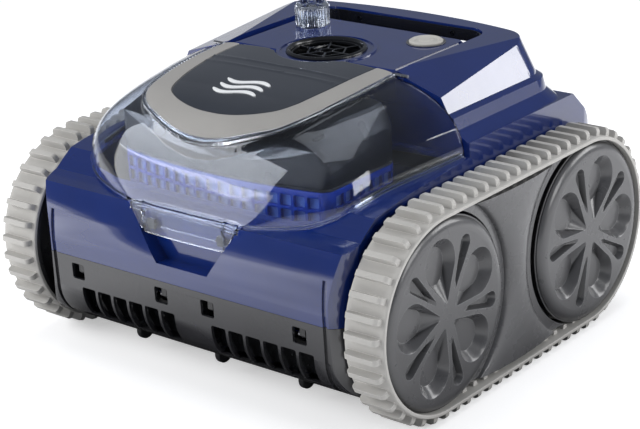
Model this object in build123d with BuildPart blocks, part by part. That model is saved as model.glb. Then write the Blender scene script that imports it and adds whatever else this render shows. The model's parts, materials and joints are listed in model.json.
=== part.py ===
from build123d import *

import os
from math import cos, pi, radians, sin, sqrt

# Cordless robotic pool cleaner: a blue moulded housing between two rubber tracks, a clear lid over
# a lift-out filter canister, a carry handle at the back, and the pump, battery and drive inside.
# Millimetres, +Z up, -Y is the front. The origin is on the ground under the middle of the tracks.

os.makedirs("parts", exist_ok=True)

# ---- driving dimensions: tracks and wheels -------------------------------------------------------
TRACK_OUTER_X = 220.0       # outer face of each belt, so the cleaner is 440 wide
BELT_WIDTH = 40.4
WHEEL_BASE = 222.2          # front axle to rear axle
AXLE_Z = 95.8               # equals the lug tip radius, so the lugs stand on the ground
BELT_OUTER_R = 88.0
BELT_INNER_R = 84.6
WHEEL_R = 84.2
COVER_R = 82.7
LUG_THICKNESS = 5.0
LUG_OUTER_INSET = 3.8       # how far the lug ends stop short of the belt's outer edge
LUGS_PER_RUN = 14
LUGS_PER_BEND = 17
TOOTH_HEIGHT = 3.6
TOOTH_BAND = (203.0, 212.0)
AXLE_R = 6.0
RUNNING_GAP = 0.05          # radial clearance of every running fit

# ---- driving dimensions: housing -----------------------------------------------------------------
HALF_BODY_X = 175.0
BODY_CORNER_R = 30.0
WALL = 3.0
BASE_Z = 12.0
SEAM_Z = 100.5
TRAY_HALF_Y = 124.0
LID_REAR_Y = -15.2
SHELL_FRONT_Y = -13.0
SHELL_TOP_Z = 231.0
DECK_Z = 260.0
DECK_HALF_X = 97.4
DECK_REAR_Y = 107.0
DECK_REAR_FALL = 6.0        # the deck slopes down over its last millimetres, to show the hand space
HANDLE_TOP_Z = 262.0
HANDLE_INNER_X = 98.0
HANDLE_INNER_Y = 135.0
HANDLE_UNDER_Z = 248.0
SEAT_GAP = 0.4              # between the lid's edge and the rim that it rests on
JOINT_GAP = 0.4             # between neighbouring mouldings that move apart

# ---- driving dimensions: lid ---------------------------------------------------------------------
LID_WALL = 3.0
HINGE_Y = -13.5
HINGE_Z = 258.5
HINGE_PIN_R = 1.5
NOSE_R = 46.0               # collar round the outlet that runs into the lid's rear edge
OUTLET_Y = 14.0
OUTLET_R = 37.0

# Lid stations from back to front: y, half width, seat height, crown height.
LID_STATIONS = [
    (-15.2, 171.0, 196.5, 260.5),
    (-60.0, 164.0, 193.0, 258.0),
    (-100.0, 158.0, 190.5, 253.0),
    (-130.0, 153.5, 186.5, 247.5),
    (-147.0, 150.0, 183.5, 240.0),
    (-158.0, 138.0, 176.0, 226.0),
    (-167.0, 112.0, 169.0, 206.0),
    (-176.0, 84.0, 166.0, 187.0),
    (-186.0, 62.0, 164.0, 171.0),
]

# Notch in the front of the housing, which the lid's finger tab hangs into.
NOTCH_TOP_HALF = 67.0
NOTCH_BOTTOM_HALF = 29.3
NOTCH_TOP_Z = 170.0
NOTCH_BOTTOM_Z = 116.8
NOTCH_BACK_Y = -181.0
TAB_BOTTOM_HALF = 45.0
TAB_TOP_HALF = 62.0
TAB_TOP_Z = 167.0
TAB_BOTTOM_Z = 141.0
TAB_FRONT_Y = -189.0

# ---- driving dimensions: intakes, rollers, controls ---------------------------------------------
INTAKE_CENTRES_X = (-78.0, 78.0)
INTAKE_CELLS = 6
CELL_PITCH = 19.4
CELL_WIDTH = 16.4
CELL_BOTTOM_Z = 43.0
CELL_TOP_Z = 72.0
MOUTH_SHIFT_X = 8.5         # both rows of cells reach further to the right than their clips
CLIP_OFFSET_X = 51.0
FLAP_HINGE_Y = -186.5
FLAP_HINGE_Z = 85.0
ROLLER_XS = (-96.0, 0.0, 96.0)
ROLLER_Y = -149.0
ROLLER_Z = 22.0
ROLLER_R = 9.5
BUTTON_X, BUTTON_Y, BUTTON_R = 64.0, 79.0, 15.7
CAP_X, CAP_Y, CAP_R = -65.0, 74.0, 16.5

# ---- driving dimensions: inside ------------------------------------------------------------------
BASKET_HALF_X = 118.0
BASKET_TOP_Z = 190.0
BASKET_BOTTOM_Z = 118.0
BASKET_REAR_Y = -40.0
BASKET_SIDE_Y = -136.0      # front wall at its ends
BASKET_FRONT_Y = -150.0     # front wall at its middle
DUCT_R = 38.0
MOTOR_R = 28.0
SHAFT_R = 4.0


# ---- driving dimensions: back of the housing, screws, bushes -------------------------------------
REAR_BOW = 18.0             # how far the rear bulges behind its corners
REAR_CORNER_R = 34.0
GROOVE_X = 157.0            # upright grooves at the two front corners
GROOVE_HALF_WIDTH = 2.2
GROOVE_DEPTH = 2.0
GROOVE_TOP_Z = 141.0
RIB_HALF_X = 130.0          # grooves across the rear skirt
REAR_RIB_ZS = (56.0, 66.0, 76.0)
HAND_HALF_X = 92.0          # hand space under the handle bar
BUSH_R = 9.0
SCREW_SPACING = (280.0, 90.0)
SCREW_R = 1.6
SCREW_HEAD_R = 3.2

# ---- driving dimensions: skirts, flaps and rollers -----------------------------------------------
SKIRT_GAP = 0.3
CLIP_Z = 86.5
CLIP_WINDOW = (15.0, 15.0)
FLAP_HALF_X = 44.0          # the flap's hinge end, between its clips
FLAP_LOW_HALF_X = 59.5      # the flap below its clips, behind the whole row of cells
FLAP_PIN_R = 1.2
SPRING_OFFSET_X = 46.3
FORK_OUTER_X = 9.0
FORK_INNER_X = 3.8
ROLLER_PIN_R = 1.5
SOCKET_R = 10.0             # charging socket

# ---- driving dimensions: lid details -------------------------------------------------------------
REAR_NOTCH_HALF_X = 41.0    # wider end of the lid's notch, which passes the collar as the lid swings
HINGE_KNUCKLE_X = 102.5
HINGE_KNUCKLE_R = 3.0
HINGE_KNUCKLE_LENGTH = 6.0
LEDGE = 10.0                # width of the housing's ledge under the lid's edge
ARCH_STEPS = 24             # straight steps in each arched lid section
TRIM_RISE = 1.8
PANEL_RISE = 0.8
EMBLEM_RISE = 1.3
EMBLEM_WAVE_YS = (-92.0, -102.0, -112.0)
CATCH_X = 40.2
CATCH_Z = 148.0
# Plan outlines of the trim's two edges, from its rear end round to the middle of the front: x, y.
TRIM_OUTER = [(95.4, -15.2), (94.0, -60.0), (89.5, -90.0), (78.0, -121.0), (52.0, -147.0), (0.0, -160.5)]
TRIM_INNER = [(79.4, -15.2), (75.5, -55.0), (68.0, -90.0), (57.0, -117.0), (34.0, -137.0), (0.0, -149.0)]

# ---- driving dimensions: filter basket and intake ducts ------------------------------------------
BASKET_ROWS = 4
BASKET_COLUMNS = 17
BASKET_SIDE_COLUMNS = 6
BASKET_PITCH = 13.0
BASKET_BAR = 2.6            # width of the bars between the basket's cells
BASKET_SPLIT_X = 110.5      # where the front and rear panels clip to the side panels
BASKET_SPLIT_GAP = 0.2
SEAL_HEIGHT = 2.6
CANISTER_TOP_Z = 246.0
DUCT_CENTRE_X = 68.0
DUCT_HALF_X = 46.0
INLET_Y = -78.0
INLET_HALF_Y = 14.0

# ---- driving dimensions: wheel covers, belts and side plates -------------------------------------
GROOVE_R = 80.4             # floor of the rim's groove, which clears the belt's teeth
COVER_SPOKES = 5
FRONT_PHASE = 101.0         # direction of the first pocket of a front cover, in degrees
REAR_PHASE = 72.0
COVER_FACE_X = 219.9
EGG_DEPTH = 8.6
SLOT_DEPTH = 5.6
# Pocket outlines at the face and at the floor, each as two circles: distance from the axle, radius.
EGG_FACE = ((14.0, 2.6), (50.0, 21.0))
EGG_FLOOR = ((40.0, 12.0), (48.0, 14.0))
SLOT_FACE = ((24.0, 1.8), (62.0, 7.2))
SLOT_FLOOR = ((38.0, 0.9), (61.0, 4.2))
LUG_HEIGHT = 8.4
SPINE_R = 220.0             # upright swell of the side plates
SPINE_OUTER_X = 218.5

# Stepped shoulder of the housing, from below: height, half width, y of the rear corners.
SHOULDER_STEPS = [
    (205.0, 172.5, 150.0),
    (209.0, 172.5, 148.0),
    (217.0, 161.0, 146.0),
    (228.0, 159.0, 144.0),
    (SHELL_TOP_Z, 153.6, 141.0),
]


# ---- shared outlines -----------------------------------------------------------------------------
def body_outline(inset):
    """Side outline of the housing below its shoulder, in Y and Z, inset by a wall."""
    rim = [(y, seat - SEAT_GAP) for y, half, seat, crown in LID_STATIONS[1:]]
    with BuildSketch(Plane.YZ.offset(-HALF_BODY_X)) as outline:
        with BuildLine():
            Polyline((-176, 35), (-139, BASE_Z), (139, BASE_Z), (176, 35))
            ThreePointArc((176, 35), (189.7, 50), (194.5, 68.4))
            Line((194.5, 68.4), (195.5, 110))
            ThreePointArc((195.5, 110), (190, 152), (172, 190))
            Polyline((172, 190), (152, 209), (SHELL_FRONT_Y, 209), (SHELL_FRONT_Y, 196.1), *rim)
            ThreePointArc(rim[-1], (-193.2, 138), (-195.5, 110))
            Line((-195.5, 110), (-194.5, 68.4))
            ThreePointArc((-194.5, 68.4), (-189.7, 50), (-176, 35))
        make_face()
        if inset:
            offset(amount=-inset, kind=Kind.INTERSECTION, mode=Mode.REPLACE)
    return outline.sketch


def body_plan(inset):
    """Plan outline of the housing, in X and Y."""
    with BuildSketch(Plane.XY) as plan:
        RectangleRounded(2 * (HALF_BODY_X - inset), 2 * (200 - inset), BODY_CORNER_R - inset)
    return plan.sketch


def body_block(inset):
    """The lower housing as one block: its side outline crossed with its plan."""
    width = extrude(body_outline(inset), amount=2 * HALF_BODY_X, mode=Mode.PRIVATE)
    height = extrude(body_plan(inset), amount=300, mode=Mode.PRIVATE)
    return width & height


def rear_outline(height, half_width, corner_y, inset=0.0):
    """Plan outline of the back of the housing at one height: straight sides and a bowed rear."""
    side = half_width - inset
    end = corner_y - inset
    front = SHELL_FRONT_Y + inset
    with BuildSketch(Plane.XY.offset(height)) as outline:
        with BuildLine():
            Polyline((-side, end), (-side, front), (side, front), (side, end))
            ThreePointArc((side, end), (0, end + REAR_BOW), (-side, end))
        make_face()
        fillet(outline.vertices().group_by(Axis.Y)[-1], REAR_CORNER_R - inset)
    return outline.sketch


def block(low, high):
    """A box between two corners, for adding, cutting or keeping."""
    size = [b - a for a, b in zip(low, high)]
    centre = [(a + b) / 2 for a, b in zip(low, high)]
    return Pos(*centre) * Solid.make_box(*size, Plane((-size[0] / 2, -size[1] / 2, -size[2] / 2)))


def lid_section(y, half, seat, crown, rise):
    """Cross-section of the lid at one station: a squarish arch above its seat."""
    width = half + rise
    height = crown + rise - seat
    arch = []
    for step in range(ARCH_STEPS + 1):
        angle = pi * step / ARCH_STEPS
        reach = sqrt(abs(cos(angle)))
        across = width * (reach if angle < pi / 2 else -reach)
        arch.append((across, seat + height * sin(angle)))
    with BuildSketch(Plane.XZ.offset(-y)) as section:
        with BuildLine():
            Polyline(arch)
            Line(arch[-1], arch[0])
        make_face()
    return section.sketch


def lid_solid(rise, mode=Mode.ADD):
    """The lid's outer form grown or shrunk by a rise; shrinking also opens its front inwards."""
    sections = []
    for y, half, seat, crown in LID_STATIONS:
        station_y = y - rise if y < LID_REAR_Y else y
        sections.append(lid_section(station_y, half, seat, crown, rise))
    loft(sections, ruled=True, mode=mode)


def trim_outline(points):
    """Plan outline of one edge of the U-shaped trim, as a face under the lid."""
    right = [(x, y) for x, y in points]
    left = [(-x, y) for x, y in reversed(points[:-1])]
    with BuildSketch(Plane.XY.offset(180)) as outline:
        with BuildLine():
            Spline(right + left)
            Line(right[0], left[-1])
        make_face()
    return outline.sketch


def lid_opening_points():
    """Plan outline of the opening under the lid."""
    right = [(half - LEDGE, y) for y, half, seat, crown in LID_STATIONS[:6]]
    right[0] = (right[0][0], -19)
    right.append((100, -163))
    return right + [(-x, y) for x, y in reversed(right)]


def notch_outline(y, margin):
    """Trapezoid of the finger notch, facing the front."""
    top = NOTCH_TOP_HALF + margin
    bottom = NOTCH_BOTTOM_HALF + margin
    low = NOTCH_BOTTOM_Z - margin
    with BuildSketch(Plane.XZ.offset(-y)) as outline:
        with BuildLine():
            Polyline((-top, NOTCH_TOP_Z), (-bottom, low), (bottom, low), (top, NOTCH_TOP_Z), close=True)
        make_face()
    return outline.sketch


def corner_grooves():
    """Upright strips of the housing's skin at its two front corners, to be cut away."""
    skin = body_block(0) - body_block(GROOVE_DEPTH)
    strips = []
    for side in (-1, 1):
        low = (side * GROOVE_X - GROOVE_HALF_WIDTH, -220, 30)
        high = (side * GROOVE_X + GROOVE_HALF_WIDTH, -140, GROOVE_TOP_Z)
        strips.append(block(low, high) & skin)
    return strips


def axle_holes():
    """Cylinders where the four axles pass through the housing's sides."""
    hole = Cylinder(BUSH_R, 20, rotation=(0, 90, 0), mode=Mode.PRIVATE)
    places = [(x, y) for x in (-HALF_BODY_X, HALF_BODY_X) for y in (-WHEEL_BASE / 2, WHEEL_BASE / 2)]
    return [Pos(x, y, AXLE_Z) * hole for x, y in places]


def basket_outline(height, inset):
    """Plan outline of the filter basket, bowed at the front."""
    side = BASKET_HALF_X - inset
    rear = BASKET_REAR_Y - inset
    front = BASKET_SIDE_Y + inset
    with BuildSketch(Plane.XY.offset(height)) as outline:
        with BuildLine():
            Polyline((-side, front), (-side, rear), (side, rear), (side, front))
            ThreePointArc((side, front), (0, BASKET_FRONT_Y + inset), (-side, front))
        make_face()
        fillet(outline.vertices(), 12 - inset)
    return outline.sketch


def canister_form(inset, mode=Mode.ADD):
    """Black cover of the canister: a crowned side outline crossed with an arched front outline."""
    base = BASKET_TOP_Z + 0.1 + SEAL_HEIGHT + 0.1 - (1 if inset else 0)
    crown = CANISTER_TOP_Z - inset
    rear = BASKET_REAR_Y + 2 - inset
    with BuildSketch(Plane.YZ.offset(-BASKET_HALF_X)) as side_outline:
        with BuildLine():
            Polyline((-160, base), (-152 + inset, 204), (-138 + inset, 226 - inset),
                     (-118 + inset, 238 - inset), (-70, crown - 2), (-45, crown), (rear, crown - 4),
                     (rear, base), close=True)
        make_face()
    long_form = extrude(side_outline.sketch, amount=2 * BASKET_HALF_X, mode=Mode.PRIVATE)
    half = BASKET_HALF_X - inset
    right_side = [(70, crown), (half - 16, 240 - inset), (half - 3, 222), (half, base)]
    left_side = [(-x, z) for x, z in reversed(right_side)]
    with BuildSketch(Plane.XZ.offset(-BASKET_REAR_Y)) as arch_outline:
        with BuildLine():
            Polyline(left_side + right_side, close=True)
        make_face()
    wide_form = extrude(arch_outline.sketch, amount=140, both=True, mode=Mode.PRIVATE)
    plan_form = extrude(basket_outline(base, inset), amount=80, mode=Mode.PRIVATE)
    add(long_form & wide_form & plan_form, mode=mode)


def pocket_outline(side, axle_y, depth, angle, circles):
    """Outline of a wheel-cover pocket at one depth: two circles with their shared tangents."""
    plane = Plane(origin=(side * (COVER_FACE_X - depth), axle_y, AXLE_Z), x_dir=(0, 1, 0), z_dir=(1, 0, 0))
    with BuildSketch(plane) as pocket:
        for reach, radius in circles:
            with Locations((reach * cos(radians(angle)), reach * sin(radians(angle)))):
                Circle(radius)
        make_hull()
    return pocket.sketch


def belt_places(radius):
    """Where the lugs or teeth sit round a belt: y, z and turn, at one distance from the centres."""
    run_pitch = WHEEL_BASE / LUGS_PER_RUN
    places = []
    for k in range(LUGS_PER_RUN):
        places.append((-WHEEL_BASE / 2 + k * run_pitch, AXLE_Z + radius, 0))
        places.append((WHEEL_BASE / 2 - k * run_pitch, AXLE_Z - radius, 180))
    for k in range(LUGS_PER_BEND):
        turn = k * 180 / LUGS_PER_BEND
        reach = radius * sin(radians(turn))
        rise = radius * cos(radians(turn))
        places.append((WHEEL_BASE / 2 + reach, AXLE_Z + rise, -turn))
        places.append((-WHEEL_BASE / 2 - reach, AXLE_Z - rise, 180 - turn))
    return places


# ---- main housing --------------------------------------------------------------------------------
with BuildPart() as main_housing:
    add(body_block(0))
    add(body_block(WALL), mode=Mode.SUBTRACT)
    add(block((-200, -220, SEAM_Z), (200, 220, 260)), mode=Mode.INTERSECT)
    loft([rear_outline(*step) for step in SHOULDER_STEPS], ruled=True)
    loft([rear_outline(z - WALL, half, corner, WALL) for z, half, corner in SHOULDER_STEPS],
         ruled=True, mode=Mode.SUBTRACT)
    # Opening under the lid, with a ledge all round that the lid's edge rests on.
    with BuildSketch(Plane.XY.offset(150)):
        with BuildLine():
            Polyline(lid_opening_points(), close=True)
        make_face()
    extrude(amount=100, mode=Mode.SUBTRACT)
    # Finger notch: a pocket with its own walls, then the pocket itself.
    backing = extrude(notch_outline(NOTCH_BACK_Y + WALL, WALL), amount=20, mode=Mode.PRIVATE)
    add(backing & body_block(0))
    extrude(notch_outline(NOTCH_BACK_Y, 0), amount=40, mode=Mode.SUBTRACT)
    # Holes in the top for the outlet duct, the charging socket and the button's stem.
    with BuildSketch(Plane.XY.offset(188)):
        with Locations((0, OUTLET_Y)):
            Circle(DUCT_R + JOINT_GAP)
        with Locations((CAP_X, CAP_Y)):
            Circle(SOCKET_R + JOINT_GAP)
    extrude(amount=50, mode=Mode.SUBTRACT)
    add(corner_grooves(), mode=Mode.SUBTRACT)
    add(axle_holes(), mode=Mode.SUBTRACT)
main_housing.part.label = "main_housing"
export_step(main_housing.part, "parts/main_housing.step")

# ---- base tray and skirts ------------------------------------------------------------------------
with BuildPart() as base_tray:
    add(body_block(0))
    add(body_block(WALL), mode=Mode.SUBTRACT)
    add(block((-200, -TRAY_HALF_Y, 0), (200, TRAY_HALF_Y, SEAM_Z)), mode=Mode.INTERSECT)
    add(axle_holes(), mode=Mode.SUBTRACT)
    with Locations(Plane.XY.offset(BASE_Z)):
        with GridLocations(*SCREW_SPACING, 2, 3):
            Cylinder(SCREW_HEAD_R + 0.2, 3, mode=Mode.SUBTRACT)
            Cylinder(SCREW_R, 20, mode=Mode.SUBTRACT)
base_tray.part.label = "base_tray"
export_step(base_tray.part, "parts/base_tray.step")

with BuildPart() as front_skirt:
    add(body_block(0))
    add(body_block(WALL), mode=Mode.SUBTRACT)
    skirt_rear = -TRAY_HALF_Y - SKIRT_GAP
    add(block((-200, -220, 0), (200, skirt_rear, SEAM_Z - SKIRT_GAP)), mode=Mode.INTERSECT)
    # Forks that carry the guide rollers, then the slots that the rollers show through.
    fork_size = (2 * FORK_OUTER_X, 16, 14)
    with Locations([(x, ROLLER_Y, ROLLER_Z + 2) for x in ROLLER_XS]):
        Box(*fork_size)
    add(block((-200, -220, 0), (200, 0, SEAM_Z)) & body_block(0), mode=Mode.INTERSECT)
    with Locations([(x, ROLLER_Y, ROLLER_Z) for x in ROLLER_XS]):
        Box(2 * FORK_INNER_X, 24, 34, mode=Mode.SUBTRACT)
        Cylinder(ROLLER_PIN_R, 60, rotation=(0, 90, 0), mode=Mode.SUBTRACT)
    # Two intake mouths, each a row of cells between slanted ribs, and the recesses of the clips.
    with BuildSketch(Plane.XZ.offset(160)):
        for centre_x in INTAKE_CENTRES_X:
            with Locations((centre_x, (CELL_TOP_Z + CELL_BOTTOM_Z) / 2)):
                with Locations((MOUTH_SHIFT_X, 0)), GridLocations(CELL_PITCH, 0, INTAKE_CELLS, 1):
                    RectangleRounded(CELL_WIDTH, CELL_TOP_Z - CELL_BOTTOM_Z, 2)
            with Locations((centre_x, CLIP_Z)):
                with GridLocations(2 * CLIP_OFFSET_X, 0, 2, 1):
                    RectangleRounded(CLIP_WINDOW[0], CLIP_WINDOW[1], 2)
    extrude(amount=60, mode=Mode.SUBTRACT)
    add(corner_grooves(), mode=Mode.SUBTRACT)
front_skirt.part.label = "front_skirt"
export_step(front_skirt.part, "parts/front_skirt.step")

with BuildPart() as rear_skirt:
    add(body_block(0))
    add(body_block(WALL), mode=Mode.SUBTRACT)
    add(block((-200, TRAY_HALF_Y + SKIRT_GAP, 0), (200, 220, SEAM_Z - SKIRT_GAP)), mode=Mode.INTERSECT)
    # Shallow styling grooves across the panel.
    ribs = [block((-RIB_HALF_X, 100, z), (RIB_HALF_X, 220, z + 2.4)) for z in REAR_RIB_ZS]
    skin = body_block(0) - body_block(1.2)
    for rib in ribs:
        add(rib & skin, mode=Mode.SUBTRACT)
rear_skirt.part.label = "rear_skirt"
export_step(rear_skirt.part, "parts/rear_skirt.step")

# ---- deck, outlet, charging port and button ------------------------------------------------------
with BuildPart() as deck_cover:
    deck_middle_y = (SHELL_FRONT_Y + 0.6 + DECK_REAR_Y) / 2
    deck_length = DECK_REAR_Y - SHELL_FRONT_Y - 0.6
    with BuildSketch(Plane.XY.offset(SHELL_TOP_Z + 0.1)) as deck_plan:
        with Locations((0, deck_middle_y)):
            Rectangle(2 * DECK_HALF_X, deck_length)
        fillet(deck_plan.vertices().group_by(Axis.Y)[-1], 14)
    extrude(amount=DECK_Z - SHELL_TOP_Z - 0.1)
    rear_top = deck_cover.faces().sort_by(Axis.Z)[-1].edges().filter_by(lambda edge: edge.center().Y > 90)
    chamfer(rear_top, DECK_REAR_FALL)
    with BuildPart(mode=Mode.PRIVATE) as deck_inside:
        extrude(offset(deck_plan.sketch, amount=-WALL, mode=Mode.PRIVATE),
                amount=DECK_Z - SHELL_TOP_Z - WALL)
        inside_top = deck_inside.faces().sort_by(Axis.Z)[-1].edges()
        chamfer(inside_top.filter_by(lambda edge: edge.center().Y > 90), DECK_REAR_FALL)
    add(deck_inside.part, mode=Mode.SUBTRACT)
    # The front top edge falls away, to clear the lid as it swings.
    with BuildSketch(Plane.YZ.offset(-DECK_HALF_X)):
        with BuildLine():
            Polyline((SHELL_FRONT_Y, 255), (SHELL_FRONT_Y, 262), (-7, 262), (-7, DECK_Z), close=True)
        make_face()
    extrude(amount=2 * DECK_HALF_X, mode=Mode.SUBTRACT)
    # Round collar that carries the outlet and reaches forward into the lid's rear edge.
    with BuildSketch(Plane.XY.offset(DECK_Z - 7)):
        with Locations((0, OUTLET_Y)):
            Circle(NOSE_R)
    extrude(amount=8.2)
    with BuildSketch(Plane.XY.offset(DECK_Z)):
        with Locations((0, OUTLET_Y)):
            Circle(NOSE_R - 3)
    extrude(amount=8, mode=Mode.SUBTRACT)
    with BuildSketch(Plane.XY.offset(SHELL_TOP_Z)):
        with Locations((0, OUTLET_Y)):
            Circle(OUTLET_R + 0.3)
        with Locations((BUTTON_X, BUTTON_Y)):
            Circle(BUTTON_R + JOINT_GAP)
        with Locations((CAP_X, CAP_Y)):
            Circle(SOCKET_R + JOINT_GAP)
    extrude(amount=40, mode=Mode.SUBTRACT)
    with Locations([(side * (DECK_HALF_X - 6), 45, DECK_Z) for side in (-1, 1)]):
        Box(2.4, 100, 2.4, mode=Mode.SUBTRACT)
deck_cover.part.label = "deck_cover"
export_step(deck_cover.part, "parts/deck_cover.step")

with BuildPart() as outlet_bezel:
    with BuildSketch(Plane.XZ.offset(-OUTLET_Y)) as bezel_section:
        with BuildLine():
            Polyline((32.5, 255.5), (OUTLET_R, 255.5), (OUTLET_R, 261.5), (35.5, 263), (34, 263),
                     (32.5, 260.5), close=True)
        make_face()
    revolve(axis=Axis((0, OUTLET_Y, 0), (0, 0, 1)))
outlet_bezel.part.label = "outlet_bezel"
export_step(outlet_bezel.part, "parts/outlet_bezel.step")

with BuildPart() as outlet_grille:
    with BuildSketch(Plane.XY.offset(256.5)):
        with Locations((0, OUTLET_Y)):
            Circle(32.4)
            Circle(30.6, mode=Mode.SUBTRACT)
            for radius in (20, 8):
                RegularPolygon(radius, 6)
                RegularPolygon(radius - 1.8, 6, mode=Mode.SUBTRACT)
            with PolarLocations(19.5, 6):
                Rectangle(25, 1.8)
    extrude(amount=3)
outlet_grille.part.label = "outlet_grille"
export_step(outlet_grille.part, "parts/outlet_grille.step")

with BuildPart() as charge_socket:
    with BuildSketch(Plane.XY.offset(DECK_Z - 24)):
        with Locations((CAP_X, CAP_Y)):
            Circle(SOCKET_R)
    extrude(amount=24)
    with BuildSketch(Plane.XY.offset(DECK_Z)):
        with Locations((CAP_X, CAP_Y)):
            Circle(SOCKET_R + 2)
    extrude(amount=1.5)
    with BuildSketch(Plane.XY.offset(DECK_Z + 1.5)):
        with Locations((CAP_X, CAP_Y)):
            Circle(6.5)
            with PolarLocations(3.2, 3):
                Circle(1.2, mode=Mode.SUBTRACT)
    extrude(amount=7)
charge_socket.part.label = "charge_socket"
export_step(charge_socket.part, "parts/charge_socket.step")

with BuildPart() as port_cap:
    with BuildSketch(Plane.XZ.offset(-CAP_Y)):
        with BuildLine():
            Polyline((CAP_X + 13.2, 260.6), (CAP_X + CAP_R - 0.8, 260.6), (CAP_X + CAP_R - 0.8, 280),
                     (CAP_X + 13.5, 283), (CAP_X + 11.5, 283), (CAP_X + 9, 279.5), (CAP_X + 4.5, 279.5),
                     (CAP_X + 4, 284.4), (CAP_X, 284.4), (CAP_X, 276.5), (CAP_X + 13.2, 276.5), close=True)
        make_face()
    revolve(axis=Axis((CAP_X, CAP_Y, 0), (0, 0, 1)))
    with BuildSketch(Plane.XY.offset(262.5)):
        with Locations((CAP_X, CAP_Y)):
            with PolarLocations(CAP_R - 1.0, 26):
                Circle(1.0)
    extrude(amount=17)
port_cap.part.label = "port_cap"
export_step(port_cap.part, "parts/port_cap.step")

with BuildPart() as power_button:
    with BuildSketch(Plane.XZ.offset(-BUTTON_Y)):
        with BuildLine():
            Polyline((BUTTON_X, 240), (BUTTON_X + 4, 240), (BUTTON_X + 4, 256.5),
                     (BUTTON_X + BUTTON_R, 256.5), (BUTTON_X + BUTTON_R, 261.8), (BUTTON_X + 14, 263),
                     (BUTTON_X + 11.5, 263), (BUTTON_X + 10.5, 262.2), (BUTTON_X + 7, 262.2),
                     (BUTTON_X + 6, 263), (BUTTON_X, 263), close=True)
        make_face()
    revolve(axis=Axis((BUTTON_X, BUTTON_Y, 0), (0, 0, 1)))
power_button.part.label = "power_button"
export_step(power_button.part, "parts/power_button.step")

with BuildPart() as button_bezel:
    with BuildSketch(Plane.XY.offset(DECK_Z + 0.05)):
        with Locations((BUTTON_X, BUTTON_Y)):
            Circle(BUTTON_R + 2.4)
            Circle(BUTTON_R + JOINT_GAP, mode=Mode.SUBTRACT)
    extrude(amount=1)
button_bezel.part.label = "button_bezel"
export_step(button_bezel.part, "parts/button_bezel.step")

with BuildPart() as button_spring:
    with BuildLine() as coil:
        Helix(pitch=4.6, height=23, radius=6, center=(BUTTON_X, BUTTON_Y, SHELL_TOP_Z + 1))
    with BuildSketch(Plane(coil.line @ 0, z_dir=coil.line % 0)):
        Circle(0.6)
    sweep(is_frenet=True)
button_spring.part.label = "button_spring"
export_step(button_spring.part, "parts/button_spring.step")

# ---- carry handle --------------------------------------------------------------------------------
with BuildPart() as carry_handle:
    loft([rear_outline(SHELL_TOP_Z + 0.1, 153.6, 141), rear_outline(HANDLE_TOP_Z, 137, 139)], ruled=True)
    # The arms fall away outward at the front and level out towards the back.
    for side in (-1, 1):
        slope = Plane(origin=(side * 138, SHELL_FRONT_Y, 247.5), z_dir=(side * 1500, -430, 4750))
        with BuildSketch(slope):
            Rectangle(700, 700)
        above = extrude(amount=60, mode=Mode.PRIVATE)
        half_space = block((min(0, side * 200), -100, 200), (max(0, side * 200), 250, 300))
        add(above & half_space, mode=Mode.SUBTRACT)
    # The loop's inside, and the hand space under the bar.
    with BuildSketch(Plane.XY.offset(200)) as loop_inside:
        with Locations((0, (HANDLE_INNER_Y - 30) / 2)):
            Rectangle(2 * HANDLE_INNER_X, HANDLE_INNER_Y + 30)
        fillet(loop_inside.vertices().group_by(Axis.Y)[-1], 22)
    extrude(amount=100, mode=Mode.SUBTRACT)
    with BuildSketch(Plane.XZ.offset(-90)) as hand_space:
        with Locations((0, 230)):
            Rectangle(2 * HAND_HALF_X, 2 * (HANDLE_UNDER_Z - 230))
        fillet(hand_space.vertices().group_by(Axis.Y)[-1], 9)
    extrude(amount=-120, mode=Mode.SUBTRACT)
    # Pockets for the lid's hinge knuckles.
    with Locations([(side * (HINGE_KNUCKLE_X + 0.2), HINGE_Y, HINGE_Z) for side in (-1, 1)]):
        Cylinder(HINGE_KNUCKLE_R + 0.9, 8.2, rotation=(0, 90, 0), mode=Mode.SUBTRACT)
        Cylinder(HINGE_PIN_R, 30, rotation=(0, 90, 0), mode=Mode.SUBTRACT)
carry_handle.part.label = "carry_handle"
export_step(carry_handle.part, "parts/carry_handle.step")

with BuildPart() as handle_liner:
    with Locations((0, HANDLE_INNER_Y - 1.1, (HANDLE_UNDER_Z + HANDLE_TOP_Z) / 2 - 0.6)):
        Box(2 * HAND_HALF_X - 30, 2, HANDLE_TOP_Z - HANDLE_UNDER_Z - 4)
handle_liner.part.label = "handle_liner"
export_step(handle_liner.part, "parts/handle_liner.step")

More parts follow.
